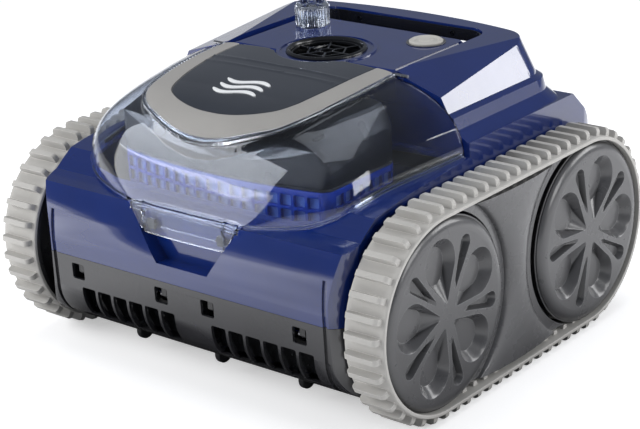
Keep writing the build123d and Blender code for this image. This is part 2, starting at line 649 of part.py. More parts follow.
# ---- lid -----------------------------------------------------------------------------------------
with BuildPart() as lid:
    lid_solid(0)
    lid_solid(-LID_WALL, Mode.SUBTRACT)
    # Finger tab that hangs into the notch.
    with BuildSketch(Plane.XZ.offset(-TAB_FRONT_Y - LID_WALL)):
        with BuildLine():
            Polyline((-TAB_TOP_HALF, TAB_TOP_Z), (-TAB_BOTTOM_HALF, TAB_BOTTOM_Z),
                     (TAB_BOTTOM_HALF, TAB_BOTTOM_Z), (TAB_TOP_HALF, TAB_TOP_Z), close=True)
        make_face()
    extrude(amount=LID_WALL)
    # Room for the outlet's collar, then the two hinge knuckles.
    with BuildSketch(Plane.XY.offset(200)):
        with Locations((0, OUTLET_Y)):
            Circle(NOSE_R + 1.4)
        with Locations((0, LID_REAR_Y)):
            Rectangle(2 * REAR_NOTCH_HALF_X, 5)
    extrude(amount=80, mode=Mode.SUBTRACT)
    for side in (-1, 1):
        with Locations((side * HINGE_KNUCKLE_X, HINGE_Y, HINGE_Z)):
            Cylinder(HINGE_KNUCKLE_R, HINGE_KNUCKLE_LENGTH, rotation=(0, 90, 0))
        with Locations((side * HINGE_KNUCKLE_X, HINGE_Y - 3, HINGE_Z - 1.4)):
            Box(HINGE_KNUCKLE_LENGTH, 5, 3)
        with Locations((side * HINGE_KNUCKLE_X, HINGE_Y, HINGE_Z)):
            Cylinder(HINGE_PIN_R + RUNNING_GAP, 20, rotation=(0, 90, 0), mode=Mode.SUBTRACT)
lid.part.label = "lid"
export_step(lid.part, "parts/lid.step")

with BuildPart() as lid_hinge_pins:
    with Locations([(side * (HINGE_KNUCKLE_X + 2.5), HINGE_Y, HINGE_Z) for side in (-1, 1)]):
        Cylinder(HINGE_PIN_R, 14, rotation=(0, 90, 0))
lid_hinge_pins.part.label = "lid_hinge_pins"
export_step(lid_hinge_pins.part, "parts/lid_hinge_pins.step")

with BuildPart() as lid_trim:
    lid_solid(TRIM_RISE)
    add(lid.part, mode=Mode.SUBTRACT)
    lid_solid(0, Mode.SUBTRACT)
    extrude(trim_outline(TRIM_OUTER), amount=120, mode=Mode.INTERSECT)
    extrude(trim_outline(TRIM_INNER), amount=120, mode=Mode.SUBTRACT)
lid_trim.part.label = "lid_trim"
export_step(lid_trim.part, "parts/lid_trim.step")

with BuildPart() as window_panel:
    lid_solid(PANEL_RISE)
    lid_solid(0, Mode.SUBTRACT)
    inside = [(x - 0.7, y) for x, y in TRIM_INNER[:-1]] + [(0, TRIM_INNER[-1][1] + 0.7)]
    extrude(trim_outline(inside), amount=120, mode=Mode.INTERSECT)
    with BuildSketch(Plane.XY.offset(200)):
        with Locations((0, OUTLET_Y)):
            Circle(NOSE_R + 1.6)
        with Locations((0, LID_REAR_Y)):
            Rectangle(2 * REAR_NOTCH_HALF_X, 5.2)
    extrude(amount=80, mode=Mode.SUBTRACT)
window_panel.part.label = "window_panel"
export_step(window_panel.part, "parts/window_panel.step")

with BuildPart() as lid_emblem:
    lid_solid(EMBLEM_RISE)
    lid_solid(PANEL_RISE, Mode.SUBTRACT)
    with BuildSketch(Plane.XY.offset(180)) as emblem_plan:
        for centre_y in EMBLEM_WAVE_YS:
            with BuildLine():
                crest = Spline((-24, centre_y), (-12, centre_y + 3.5), (0, centre_y), (12, centre_y - 3.5),
                               (24, centre_y))
                lower = Spline((-24, centre_y - 4), (-12, centre_y - 0.5), (0, centre_y - 4),
                               (12, centre_y - 7.5), (24, centre_y - 4))
                Line(crest @ 0, lower @ 0)
                Line(crest @ 1, lower @ 1)
            make_face()
    extrude(amount=120, mode=Mode.INTERSECT)
lid_emblem.part.label = "lid_emblem"
export_step(lid_emblem.part, "parts/lid_emblem.step")

with BuildPart() as lid_seal:
    with BuildSketch(Plane.YZ.offset(-200)):
        with BuildLine():
            seats = [(y, seat) for y, half, seat, crown in LID_STATIONS[:4]]
            Polyline(*seats, *[(y, seat + 3) for y, seat in reversed(seats)], close=True)
        make_face()
    extrude(amount=400)
    for inset, mode in ((LID_WALL + 1.4, Mode.INTERSECT), (LID_WALL + 3.9, Mode.SUBTRACT)):
        with BuildSketch(Plane.XY.offset(150)):
            with BuildLine():
                right = [(half - inset, y) for y, half, seat, crown in LID_STATIONS[:4]]
                Polyline(*right, *[(-x, y) for x, y in reversed(right)], close=True)
            make_face()
        extrude(amount=100, mode=mode)
lid_seal.part.label = "lid_seal"
export_step(lid_seal.part, "parts/lid_seal.step")

with BuildPart() as lid_catches:
    with Locations([(side * CATCH_X, TAB_FRONT_Y + LID_WALL + 1.5, CATCH_Z) for side in (-1, 1)]):
        Box(8, 3, 9)
        Cylinder(1.4, 11, rotation=(0, 90, 0))
lid_catches.part.label = "lid_catches"
export_step(lid_catches.part, "parts/lid_catches.step")

# ---- filter canister -----------------------------------------------------------------------------
with BuildPart() as filter_basket:
    extrude(basket_outline(BASKET_BOTTOM_Z, 0), amount=BASKET_TOP_Z - BASKET_BOTTOM_Z)
    extrude(basket_outline(BASKET_BOTTOM_Z + WALL, WALL), amount=BASKET_TOP_Z, mode=Mode.SUBTRACT)
    rows_centre_z = BASKET_TOP_Z - 4 - BASKET_ROWS * BASKET_PITCH / 2
    with BuildSketch(Plane.XZ.offset(-BASKET_SIDE_Y - 12)):
        with Locations((0, rows_centre_z)):
            with GridLocations(BASKET_PITCH, BASKET_PITCH, BASKET_COLUMNS, BASKET_ROWS):
                RectangleRounded(BASKET_PITCH - BASKET_BAR, BASKET_PITCH - BASKET_BAR, 1.2)
    extrude(amount=60, mode=Mode.SUBTRACT)
    with BuildSketch(Plane.YZ.offset(-200)):
        with Locations(((BASKET_REAR_Y + BASKET_SIDE_Y) / 2, rows_centre_z)):
            with GridLocations(BASKET_PITCH, BASKET_PITCH, BASKET_SIDE_COLUMNS, BASKET_ROWS):
                RectangleRounded(BASKET_PITCH - BASKET_BAR, BASKET_PITCH - BASKET_BAR, 1.2)
    extrude(amount=400, mode=Mode.SUBTRACT)
    # Inlets in the floor, over the intake ducts.
    with Locations([(side * DUCT_CENTRE_X, INLET_Y, BASKET_BOTTOM_Z) for side in (-1, 1)]):
        Box(2 * DUCT_HALF_X - 8, 2 * INLET_HALF_Y, 8, mode=Mode.SUBTRACT)
    # The basket is clipped together from floor strips, two sides, a front and a rear.
    with Locations([(0, INLET_Y + side * INLET_HALF_Y, BASKET_BOTTOM_Z) for side in (-1, 1)]):
        Box(400, BASKET_SPLIT_GAP, 2 * WALL + BASKET_SPLIT_GAP, mode=Mode.SUBTRACT)
    floor_top = BASKET_BOTTOM_Z + WALL
    add(block((-200, -200, floor_top), (200, 0, floor_top + BASKET_SPLIT_GAP)), mode=Mode.SUBTRACT)
    with Locations([(side * BASKET_SPLIT_X, -100, floor_top + 50) for side in (-1, 1)]):
        Box(BASKET_SPLIT_GAP, 200, 100, mode=Mode.SUBTRACT)
filter_basket.part.label = "filter_basket"
export_step(filter_basket.part, "parts/filter_basket.step")

with BuildPart() as filter_mesh:
    mesh_height = BASKET_TOP_Z - BASKET_BOTTOM_Z - WALL - 1
    extrude(basket_outline(BASKET_BOTTOM_Z + WALL + 0.2, WALL + 0.3), amount=mesh_height)
    extrude(basket_outline(BASKET_BOTTOM_Z - 1, WALL + 1.3), amount=BASKET_TOP_Z, mode=Mode.SUBTRACT)
filter_mesh.part.label = "filter_mesh"
export_step(filter_mesh.part, "parts/filter_mesh.step")

with BuildPart() as canister_seal:
    extrude(basket_outline(BASKET_TOP_Z + 0.1, 0.4), amount=SEAL_HEIGHT)
    extrude(basket_outline(BASKET_TOP_Z, WALL), amount=20, mode=Mode.SUBTRACT)
canister_seal.part.label = "canister_seal"
export_step(canister_seal.part, "parts/canister_seal.step")

with BuildPart() as canister_top:
    canister_form(0)
    canister_form(WALL, Mode.SUBTRACT)
canister_top.part.label = "canister_top"
export_step(canister_top.part, "parts/canister_top.step")

with BuildPart() as intake_ducts:
    for side in (-1, 1):
        for inset, mode in ((0, Mode.ADD), (2.5, Mode.SUBTRACT)):
            run_out = 8 if inset else 0
            with BuildSketch(Plane.YZ.offset(side * DUCT_CENTRE_X - DUCT_HALF_X + inset)):
                with BuildLine():
                    Polyline((-150 - run_out, 44 + inset), (-62 - inset, 100), (-62 - inset, 117.6 + run_out),
                             (-94 + inset, 117.6 + run_out), (-94 + inset, 108 - inset),
                             (-150 - run_out, 90 - inset), close=True)
                make_face()
            extrude(amount=2 * (DUCT_HALF_X - inset), mode=mode)
intake_ducts.part.label = "intake_ducts"
export_step(intake_ducts.part, "parts/intake_ducts.step")

# ---- intake flaps, their clips, springs and pins -------------------------------------------------
with BuildPart() as skirt_pins:
    with Locations([(x, FLAP_HINGE_Y, FLAP_HINGE_Z) for x in INTAKE_CENTRES_X]):
        Cylinder(FLAP_PIN_R, 2 * CLIP_OFFSET_X + 9, rotation=(0, 90, 0))
    with Locations([(x, ROLLER_Y, ROLLER_Z) for x in ROLLER_XS]):
        Cylinder(ROLLER_PIN_R, 2 * FORK_OUTER_X, rotation=(0, 90, 0))
skirt_pins.part.label = "skirt_pins"
export_step(skirt_pins.part, "parts/skirt_pins.step")

with BuildPart() as hinge_clips:
    clip_xs = [x + side * CLIP_OFFSET_X for x in INTAKE_CENTRES_X for side in (-1, 1)]
    clip_places = [(x, FLAP_HINGE_Y, FLAP_HINGE_Z) for x in clip_xs]
    with Locations(clip_places):
        Cylinder(3.4, 6, rotation=(0, 90, 0))
    with Locations([(x, y - 2.0, z + 4.0) for x, y, z in clip_places]):
        Box(6, 5, 9)
    with Locations(clip_places):
        Cylinder(FLAP_PIN_R, 20, rotation=(0, 90, 0), mode=Mode.SUBTRACT)
hinge_clips.part.label = "hinge_clips"
export_step(hinge_clips.part, "parts/hinge_clips.step")

for name, centre_x in zip(("left", "right"), INTAKE_CENTRES_X):
    with BuildPart() as intake_flap:
        with BuildSketch(Plane.YZ.offset(centre_x - FLAP_HALF_X)):
            with BuildLine():
                Polyline((FLAP_HINGE_Y - 1.2, FLAP_HINGE_Z), (FLAP_HINGE_Y + 1.2, FLAP_HINGE_Z), (-177.2, 47),
                         (-179.6, 47), close=True)
            make_face()
        extrude(amount=2 * FLAP_HALF_X)
        mouth_x = centre_x + MOUTH_SHIFT_X
        with BuildSketch(Plane.YZ.offset(mouth_x - FLAP_LOW_HALF_X)):
            with BuildLine():
                Polyline((-186.2, 78), (-183.8, 78), (-177.2, 47), (-179.6, 47), close=True)
            make_face()
        extrude(amount=2 * FLAP_LOW_HALF_X)
        # A slanted fin behind every cell of the mouth.
        with BuildSketch(Plane.YZ.offset(mouth_x)) as fin:
            with BuildLine():
                Polyline((-183, 72), (-178.5, 48), (-182.5, 47.5), (-189.6, 62), (-189.6, 66), close=True)
            make_face()
        with Locations([(CELL_PITCH * (k - INTAKE_CELLS / 2), 0, 0) for k in range(1, INTAKE_CELLS + 1)]):
            add(extrude(fin.sketch, amount=1.1, both=True, mode=Mode.PRIVATE))
        with Locations((centre_x, FLAP_HINGE_Y, FLAP_HINGE_Z)):
            Cylinder(2.8, 2 * FLAP_HALF_X - 8, rotation=(0, 90, 0))
            Cylinder(FLAP_PIN_R + RUNNING_GAP, 3 * FLAP_HALF_X, rotation=(0, 90, 0), mode=Mode.SUBTRACT)
    intake_flap.part.label = f"intake_flap_{name}"
    export_step(intake_flap.part, f"parts/intake_flap_{name}.step")

with BuildPart() as flap_springs:
    spring_xs = [x + side * SPRING_OFFSET_X for x in INTAKE_CENTRES_X for side in (-1, 1)]
    with Locations([(x, FLAP_HINGE_Y, FLAP_HINGE_Z) for x in spring_xs]):
        with GridLocations(1.0, 0, 3, 1):
            Torus(2.6, 0.5, rotation=(0, 90, 0))
flap_springs.part.label = "flap_springs"
export_step(flap_springs.part, "parts/flap_springs.step")

# ---- guide rollers -------------------------------------------------------------------------------
for name, roller_x in zip(("left", "middle", "right"), ROLLER_XS):
    with BuildPart() as guide_roller:
        with Locations((roller_x, ROLLER_Y, ROLLER_Z)):
            Cylinder(ROLLER_R, 6, rotation=(0, 90, 0))
        fillet(guide_roller.edges().filter_by(GeomType.CIRCLE), 1.5)
        with Locations((roller_x, ROLLER_Y, ROLLER_Z)):
            Cylinder(ROLLER_PIN_R + RUNNING_GAP, 20, rotation=(0, 90, 0), mode=Mode.SUBTRACT)
    guide_roller.part.label = f"guide_roller_{name}"
    export_step(guide_roller.part, f"parts/guide_roller_{name}.step")

# ---- pump, battery and electronics ---------------------------------------------------------------
with BuildPart() as pump_duct:
    with BuildSketch(Plane.XZ.offset(-OUTLET_Y)):
        with BuildLine():
            Polyline((DUCT_R - WALL, 148), (DUCT_R + 8, 148), (DUCT_R + 8, 151), (DUCT_R, 153), (DUCT_R, 228),
                     (OUTLET_R, 229), (OUTLET_R, 255.4), (OUTLET_R - 2.5, 255.4), (OUTLET_R - 2.5, 229),
                     (DUCT_R - WALL, 227), close=True)
        make_face()
    revolve(axis=Axis((0, OUTLET_Y, 0), (0, 0, 1)))
pump_duct.part.label = "pump_duct"
export_step(pump_duct.part, "parts/pump_duct.step")

with BuildPart() as pump_motor:
    with BuildSketch(Plane.XZ.offset(-OUTLET_Y)):
        with BuildLine():
            Polyline((0, BASE_Z + WALL), (40, BASE_Z + WALL), (40, 20), (MOTOR_R + 4, 24), (MOTOR_R + 4, 62),
                     (MOTOR_R, 66), (MOTOR_R, 132), (12, 138), (12, 146), (SHAFT_R + RUNNING_GAP, 146),
                     (SHAFT_R + RUNNING_GAP, 104), (0, 104), close=True)
        make_face()
    revolve(axis=Axis((0, OUTLET_Y, 0), (0, 0, 1)))
pump_motor.part.label = "pump_motor"
export_step(pump_motor.part, "parts/pump_motor.step")

with BuildPart() as pump_shaft:
    with Locations((0, OUTLET_Y, 148)):
        Cylinder(SHAFT_R, 84)
pump_shaft.part.label = "pump_shaft"
export_step(pump_shaft.part, "parts/pump_shaft.step")

with BuildPart() as impeller:
    with Locations((0, OUTLET_Y, 172)):
        Cylinder(11, 26)
        with PolarLocations(20, 4):
            Box(27, 2.6, 24, rotation=(52, 0, 0))
    with BuildSketch(Plane.XY.offset(100)):
        with Locations((0, OUTLET_Y)):
            Circle(DUCT_R - WALL - 1.5)
    extrude(amount=160, mode=Mode.INTERSECT)
    with Locations((0, OUTLET_Y, 172)):
        Cylinder(SHAFT_R, 60, mode=Mode.SUBTRACT)
impeller.part.label = "impeller"
export_step(impeller.part, "parts/impeller.step")

with BuildPart() as battery_pack:
    add(block((-85, 58, BASE_Z + WALL), (85, 134, 70)))
    fillet(battery_pack.edges().filter_by(Axis.Z), 8)
    with Locations((0, 96, 70)):
        with GridLocations(24, 0, 6, 1):
            Box(3, 80, 2)
battery_pack.part.label = "battery_pack"
export_step(battery_pack.part, "parts/battery_pack.step")

with BuildPart() as control_box:
    add(block((-60, 64, 71.2), (60, 130, 112)))
    fillet(control_box.edges().filter_by(Axis.Z), 6)
control_box.part.label = "control_box"
export_step(control_box.part, "parts/control_box.step")

# ---- drive: motors, shafts, bushes and rear axles ------------------------------------------------
for name, side in (("left", -1), ("right", 1)):
    with BuildPart() as drive_motor:
        with Locations((side * 138, -WHEEL_BASE / 2, AXLE_Z)):
            Cylinder(19, 30, rotation=(0, 90, 0))
        with Locations((side * 161, -WHEEL_BASE / 2, AXLE_Z)):
            Cylinder(24, 18, rotation=(0, 90, 0))
        with Locations((side * 156, -WHEEL_BASE / 2, AXLE_Z)):
            Cylinder(AXLE_R + RUNNING_GAP, 40, rotation=(0, 90, 0), mode=Mode.SUBTRACT)
    drive_motor.part.label = f"drive_motor_{name}"
    export_step(drive_motor.part, f"parts/drive_motor_{name}.step")

    with BuildPart() as drive_shaft:
        with Locations((side * 175, -WHEEL_BASE / 2, AXLE_Z)):
            Cylinder(AXLE_R, 72, rotation=(0, 90, 0))
    drive_shaft.part.label = f"drive_shaft_{name}"
    export_step(drive_shaft.part, f"parts/drive_shaft_{name}.step")

with BuildPart() as wheel_bushes:
    bush_places = [(side * 174.5, y, AXLE_Z) for side in (-1, 1) for y in (-WHEEL_BASE / 2, WHEEL_BASE / 2)]
    with Locations(bush_places):
        Cylinder(BUSH_R, 7, rotation=(0, 90, 0))
    with Locations(bush_places[0::2]):
        Cylinder(AXLE_R + RUNNING_GAP, 20, rotation=(0, 90, 0), mode=Mode.SUBTRACT)
    with Locations(bush_places[1::2]):
        Cylinder(AXLE_R, 20, rotation=(0, 90, 0), mode=Mode.SUBTRACT)
wheel_bushes.part.label = "wheel_bushes"
export_step(wheel_bushes.part, "parts/wheel_bushes.step")

with BuildPart() as rear_axles:
    with Locations([(side * 191, WHEEL_BASE / 2, AXLE_Z) for side in (-1, 1)]):
        Cylinder(AXLE_R, 42, rotation=(0, 90, 0))
rear_axles.part.label = "rear_axles"
export_step(rear_axles.part, "parts/rear_axles.step")

# ---- wheels --------------------------------------------------------------------------------------
RIM_PROFILE = [
    (182, 79), (182, WHEEL_R), (202.4, WHEEL_R), (202.4, GROOVE_R), (212.6, GROOVE_R), (212.6, WHEEL_R),
    (214, WHEEL_R), (214, 77.9), (200, 77.9), (200, 16), (204, 16), (204, 0), (184, 0), (184, 16), (197, 16),
    (197, 79),
]
COVER_PROFILE = [
    (204.2, 0), (204.2, 15), (208.4, 15), (208.4, 77.4), (214.2, 77.4), (214.2, COVER_R), (215, COVER_R),
    (217.2, 81), (218.8, 78), (219.6, 75), (219.8, 72), (219.8, 0),
]
for end, axle_y, phase in (("front", -WHEEL_BASE / 2, FRONT_PHASE), ("rear", WHEEL_BASE / 2, REAR_PHASE)):
    for name, side in (("left", -1), ("right", 1)):
        axle_plane = Plane(origin=(0, axle_y, AXLE_Z), x_dir=(side, 0, 0), z_dir=(0, -side, 0))
        axle_line = Axis((0, axle_y, AXLE_Z), (1, 0, 0))
        with BuildPart() as wheel_rim:
            with BuildSketch(axle_plane):
                with BuildLine():
                    Polyline(*RIM_PROFILE, close=True)
                make_face()
            revolve(axis=axle_line)
            bore_r = AXLE_R if end == "front" else AXLE_R + RUNNING_GAP
            with Locations((side * 200, axle_y, AXLE_Z)):
                Cylinder(bore_r, 80, rotation=(0, 90, 0), mode=Mode.SUBTRACT)
        wheel_rim.part.label = f"wheel_rim_{end}_{name}"
        export_step(wheel_rim.part, f"parts/wheel_rim_{end}_{name}.step")

        with BuildPart() as wheel_cover:
            with BuildSketch(axle_plane):
                with BuildLine():
                    Polyline(*COVER_PROFILE, close=True)
                make_face()
            revolve(axis=axle_line)
            for spoke in range(COVER_SPOKES):
                egg_angle = phase + spoke * 360 / COVER_SPOKES
                slot_angle = egg_angle + 180 / COVER_SPOKES
                for angle, depth, face, floor in ((egg_angle, EGG_DEPTH, EGG_FACE, EGG_FLOOR),
                                                  (slot_angle, SLOT_DEPTH, SLOT_FACE, SLOT_FLOOR)):
                    opening = pocket_outline(side, axle_y, 0, angle, face)
                    bottom = pocket_outline(side, axle_y, depth, angle, floor)
                    loft([opening, bottom], ruled=True, mode=Mode.SUBTRACT)
            with Locations((side * 204, axle_y, AXLE_Z)):
                Cylinder(AXLE_R + 1, 18, rotation=(0, 90, 0), mode=Mode.SUBTRACT)
        wheel_cover.part.label = f"wheel_cover_{end}_{name}"
        export_step(wheel_cover.part, f"parts/wheel_cover_{end}_{name}.step")

# ---- tracks and side plates ----------------------------------------------------------------------
for name, side in (("left", -1), ("right", 1)):
    inner_x = side * (TRACK_OUTER_X - BELT_WIDTH)
    with BuildPart() as track_belt:
        with BuildSketch(Plane.YZ.offset(inner_x)):
            with Locations((0, AXLE_Z)):
                SlotCenterToCenter(WHEEL_BASE, 2 * BELT_OUTER_R)
                SlotCenterToCenter(WHEEL_BASE, 2 * BELT_INNER_R, mode=Mode.SUBTRACT)
        extrude(amount=side * BELT_WIDTH)
        with BuildSketch(Plane.YZ.offset(inner_x + side * LUG_OUTER_INSET)) as lug_side:
            for y, z, turn in belt_places(BELT_OUTER_R - 0.6 + LUG_HEIGHT / 2):
                with Locations(Location((y, z, 0), (0, 0, turn))):
                    Trapezoid(LUG_THICKNESS + 0.8, LUG_HEIGHT, 85)
        extrude(amount=side * (BELT_WIDTH - 2 * LUG_OUTER_INSET))
        with BuildSketch(Plane.YZ.offset(side * TOOTH_BAND[0])):
            for y, z, turn in belt_places(BELT_INNER_R + 0.4 - TOOTH_HEIGHT / 2):
                with Locations(Location((y, z, 0), (0, 0, turn))):
                    Trapezoid(6.5, TOOTH_HEIGHT + 0.8, 78, rotation=180)
        extrude(amount=side * (TOOTH_BAND[1] - TOOTH_BAND[0]))
    track_belt.part.label = f"track_belt_{name}"
    export_step(track_belt.part, f"parts/track_belt_{name}.step")

    with BuildPart() as side_plate:
        for plate_x, plate_depth, hug_r in ((203.5, 5, 85.4), (208.4, 8.6, 97)):
            with BuildSketch(Plane.YZ.offset(side * plate_x)):
                with Locations((0, AXLE_Z)):
                    Rectangle(WHEEL_BASE - 20, 2 * (BELT_INNER_R - TOOTH_HEIGHT - 0.8))
                    with GridLocations(WHEEL_BASE, 0, 2, 1):
                        Circle(hug_r, mode=Mode.SUBTRACT)
            extrude(amount=side * plate_depth)
        # The face swells along an upright spine.
        with Locations((side * (SPINE_OUTER_X - SPINE_R), 0, AXLE_Z)):
            Cylinder(SPINE_R, 180, mode=Mode.INTERSECT)
        with Locations([(side * 190, y, AXLE_Z + z) for y in (-14, 14) for z in (-34, 34)]):
            Cylinder(6, 29, rotation=(0, 90, 0))
    side_plate.part.label = f"side_plate_{name}"
    export_step(side_plate.part, f"parts/side_plate_{name}.step")

# ---- fasteners -----------------------------------------------------------------------------------
with BuildPart() as base_screws:
    with BuildSketch(Plane.XY.offset(BASE_Z + 0.3)):
        with GridLocations(*SCREW_SPACING, 2, 3):
            Circle(SCREW_HEAD_R)
            RegularPolygon(1.5, 6, mode=Mode.SUBTRACT)
    extrude(amount=1.2)
    with BuildSketch(Plane.XY.offset(BASE_Z + 1.5)):
        with GridLocations(*SCREW_SPACING, 2, 3):
            Circle(SCREW_R)
    extrude(amount=10)
base_screws.part.label = "base_screws"
export_step(base_screws.part, "parts/base_screws.step")

with BuildPart() as handle_screws:
    with BuildSketch(Plane.XZ.offset(-HANDLE_INNER_Y + 2.2)):
        with Locations((0, (HANDLE_UNDER_Z + HANDLE_TOP_Z) / 2 - 0.6)):
            with GridLocations(110, 0, 2, 1):
                Circle(2.4)
                RegularPolygon(1.2, 6, mode=Mode.SUBTRACT)
    extrude(amount=1)
handle_screws.part.label = "handle_screws"
export_step(handle_screws.part, "parts/handle_screws.step")
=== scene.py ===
import json
import math

import bmesh
import bpy
import numpy as np
from mathutils import Matrix, Vector


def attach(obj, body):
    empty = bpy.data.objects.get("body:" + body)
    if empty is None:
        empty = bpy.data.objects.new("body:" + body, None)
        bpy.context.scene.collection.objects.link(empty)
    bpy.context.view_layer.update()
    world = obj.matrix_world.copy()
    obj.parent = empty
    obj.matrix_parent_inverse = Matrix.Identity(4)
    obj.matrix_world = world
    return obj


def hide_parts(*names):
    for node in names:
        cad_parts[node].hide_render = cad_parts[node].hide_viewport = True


# Looks of the pool cleaner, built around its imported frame. Metres, +Z up, -Y is the front.

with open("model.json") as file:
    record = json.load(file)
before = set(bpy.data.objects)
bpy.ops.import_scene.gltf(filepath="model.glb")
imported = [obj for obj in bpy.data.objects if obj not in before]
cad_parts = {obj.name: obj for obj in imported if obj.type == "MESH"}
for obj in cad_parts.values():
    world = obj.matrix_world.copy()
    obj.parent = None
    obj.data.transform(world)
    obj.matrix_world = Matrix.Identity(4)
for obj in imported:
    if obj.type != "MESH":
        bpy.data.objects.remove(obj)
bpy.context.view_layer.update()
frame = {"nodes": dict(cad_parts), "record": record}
NODES = frame["nodes"]
MM = 0.001


# ---- material helpers ----------------------------------------------------------------------------
def srgb(red, green, blue):
    """An 8-bit display colour as linear RGBA."""
    linear = []
    for value in (red, green, blue):
        share = value / 255
        linear.append(share / 12.92 if share <= 0.04045 else ((share + 0.055) / 1.055) ** 2.4)
    return (*linear, 1.0)


def tinted(colour, factor):
    return (*[min(1.0, max(0.0, c * factor)) for c in colour[:3]], 1.0)


def add_noise(tree, scale, detail=4.0, roughness=0.55, stretch=None):
    """A noise texture in the piece's own coordinates, so it keeps its scale on every piece."""
    coords = tree.nodes.new("ShaderNodeTexCoord")
    noise = tree.nodes.new("ShaderNodeTexNoise")
    noise.inputs["Scale"].default_value = scale
    noise.inputs["Detail"].default_value = detail
    noise.inputs["Roughness"].default_value = roughness
    source = coords.outputs["Object"]
    if stretch:
        mapping = tree.nodes.new("ShaderNodeMapping")
        mapping.inputs["Scale"].default_value = stretch
        tree.links.new(source, mapping.inputs["Vector"])
        source = mapping.outputs["Vector"]
    tree.links.new(source, noise.inputs["Vector"])
    return noise.outputs["Fac"]


def add_ramp(tree, source, low, high, start=0.3, end=0.7):
    """A colour ramp between two colours (or grey values)."""
    ramp = tree.nodes.new("ShaderNodeValToRGB")
    ramp.color_ramp.elements[0].position = start
    ramp.color_ramp.elements[1].position = end
    ramp.color_ramp.elements[0].color = low if hasattr(low, "__len__") else (low, low, low, 1)
    ramp.color_ramp.elements[1].color = high if hasattr(high, "__len__") else (high, high, high, 1)
    tree.links.new(source, ramp.inputs["Fac"])
    return ramp.outputs["Color"]


def add_mix(tree, factor, first, second, blend="MIX"):
    """Mixes two colours, each a socket or a plain colour, by a socket or a number."""
    mix = tree.nodes.new("ShaderNodeMix")
    mix.data_type = "RGBA"
    mix.blend_type = blend
    for socket, value in zip((mix.inputs[0], mix.inputs[6], mix.inputs[7]), (factor, first, second)):
        if hasattr(value, "is_linked"):
            tree.links.new(value, socket)
        else:
            socket.default_value = value
    return mix.outputs[2]


def add_edge_highlight(tree, radius, start, end):
    """A painted highlight: white along convex and concave edges, where a rounded normal leaves the true one.
    """
    bevel = tree.nodes.new("ShaderNodeBevel")
    bevel.samples = 4
    bevel.inputs["Radius"].default_value = radius
    geometry = tree.nodes.new("ShaderNodeNewGeometry")
    dot = tree.nodes.new("ShaderNodeVectorMath")
    dot.operation = "DOT_PRODUCT"
    tree.links.new(bevel.outputs["Normal"], dot.inputs[0])
    tree.links.new(geometry.outputs["Normal"], dot.inputs[1])
    return add_ramp(tree, dot.outputs["Value"], 1.0, 0.0, start, end)


def add_bumps(tree, shader, layers):
    """Stacks bump layers, each (noise scale, depth in metres, detail), on the shader's normal."""
    normal = None
    for scale, depth, detail in layers:
        bump = tree.nodes.new("ShaderNodeBump")
        bump.inputs["Distance"].default_value = depth
        tree.links.new(add_noise(tree, scale, detail), bump.inputs["Height"])
        if normal is not None:
            tree.links.new(normal, bump.inputs["Normal"])
        normal = bump.outputs["Normal"]
    if normal is not None:
        tree.links.new(normal, shader.inputs["Normal"])


def add_recess_shade(tree, base, reach, depth):
    """Painted shade: darkens a colour in recesses, within a reach in metres."""
    cavity = tree.nodes.new("ShaderNodeAmbientOcclusion")
    cavity.samples = 8
    cavity.inputs["Distance"].default_value = reach
    shade = add_ramp(tree, cavity.outputs["AO"], depth, 1.0, 0.25, 0.85)
    return add_mix(tree, 1.0, base, shade, "MULTIPLY")


def plastic(name, colour, roughness, bumps, vary=0.12, rough_vary=0.05, coat=0.0, metallic=0.0,
            specular=0.5, edge=None, patch_scale=14.0, cavity=None):
    """A moulded or painted surface: patchy colour, uneven gloss, grain, optional edges lightened as a
    painted highlight, and optional painted shade in recesses.
    """
    material = bpy.data.materials.new(name)
    material.use_nodes = True
    tree = material.node_tree
    shader = tree.nodes["Principled BSDF"]
    base = add_ramp(tree, add_noise(tree, patch_scale), tinted(colour, 1 - vary), tinted(colour, 1 + vary))
    # Painted highlight: the colour is lightened along edges.
    if edge:
        radius, highlight_colour, start, end = edge
        mask = add_edge_highlight(tree, radius, start, end)
        base = add_mix(tree, mask, base, highlight_colour)
    # Painted shade: the colour is darkened in recesses.
    if cavity:
        base = add_recess_shade(tree, base, *cavity)
    tree.links.new(base, shader.inputs["Base Color"])
    low = max(0.02, roughness - rough_vary)
    tree.links.new(add_ramp(tree, add_noise(tree, 45.0, 6), low, roughness + rough_vary),
                   shader.inputs["Roughness"])
    shader.inputs["Metallic"].default_value = metallic
    shader.inputs["Specular IOR Level"].default_value = specular
    shader.inputs["Coat Weight"].default_value = coat
    shader.inputs["Coat Roughness"].default_value = 0.04
    add_bumps(tree, shader, bumps)
    return material


def clear_plastic(name, colour, roughness, bumps, haze=0.0, haze_colour=(1, 1, 1, 1)):
    """Clear moulded plastic that lets lamps through, with a little haze near its surface."""
    material = bpy.data.materials.new(name)
    material.use_nodes = True
    tree = material.node_tree
    shader = tree.nodes["Principled BSDF"]
    base = add_ramp(tree, add_noise(tree, 18.0), tinted(colour, 0.96), tinted(colour, 1.02))
    tree.links.new(base, shader.inputs["Base Color"])
    rough = add_ramp(tree, add_noise(tree, 70.0, 6), roughness * 0.5, roughness * 1.6)
    tree.links.new(rough, shader.inputs["Roughness"])
    shader.inputs["IOR"].default_value = 1.49
    shader.inputs["Transmission Weight"].default_value = 1.0 - haze
    add_bumps(tree, shader, bumps)
    path = tree.nodes.new("ShaderNodeLightPath")
    through = tree.nodes.new("ShaderNodeBsdfTransparent")
    through.inputs["Color"].default_value = tinted(colour, 0.95)
    mix = tree.nodes.new("ShaderNodeMixShader")
    tree.links.new(path.outputs["Is Shadow Ray"], mix.inputs["Fac"])
    tree.links.new(shader.outputs["BSDF"], mix.inputs[1])
    tree.links.new(through.outputs["BSDF"], mix.inputs[2])
    tree.links.new(mix.outputs["Shader"], tree.nodes["Material Output"].inputs["Surface"])
    return material


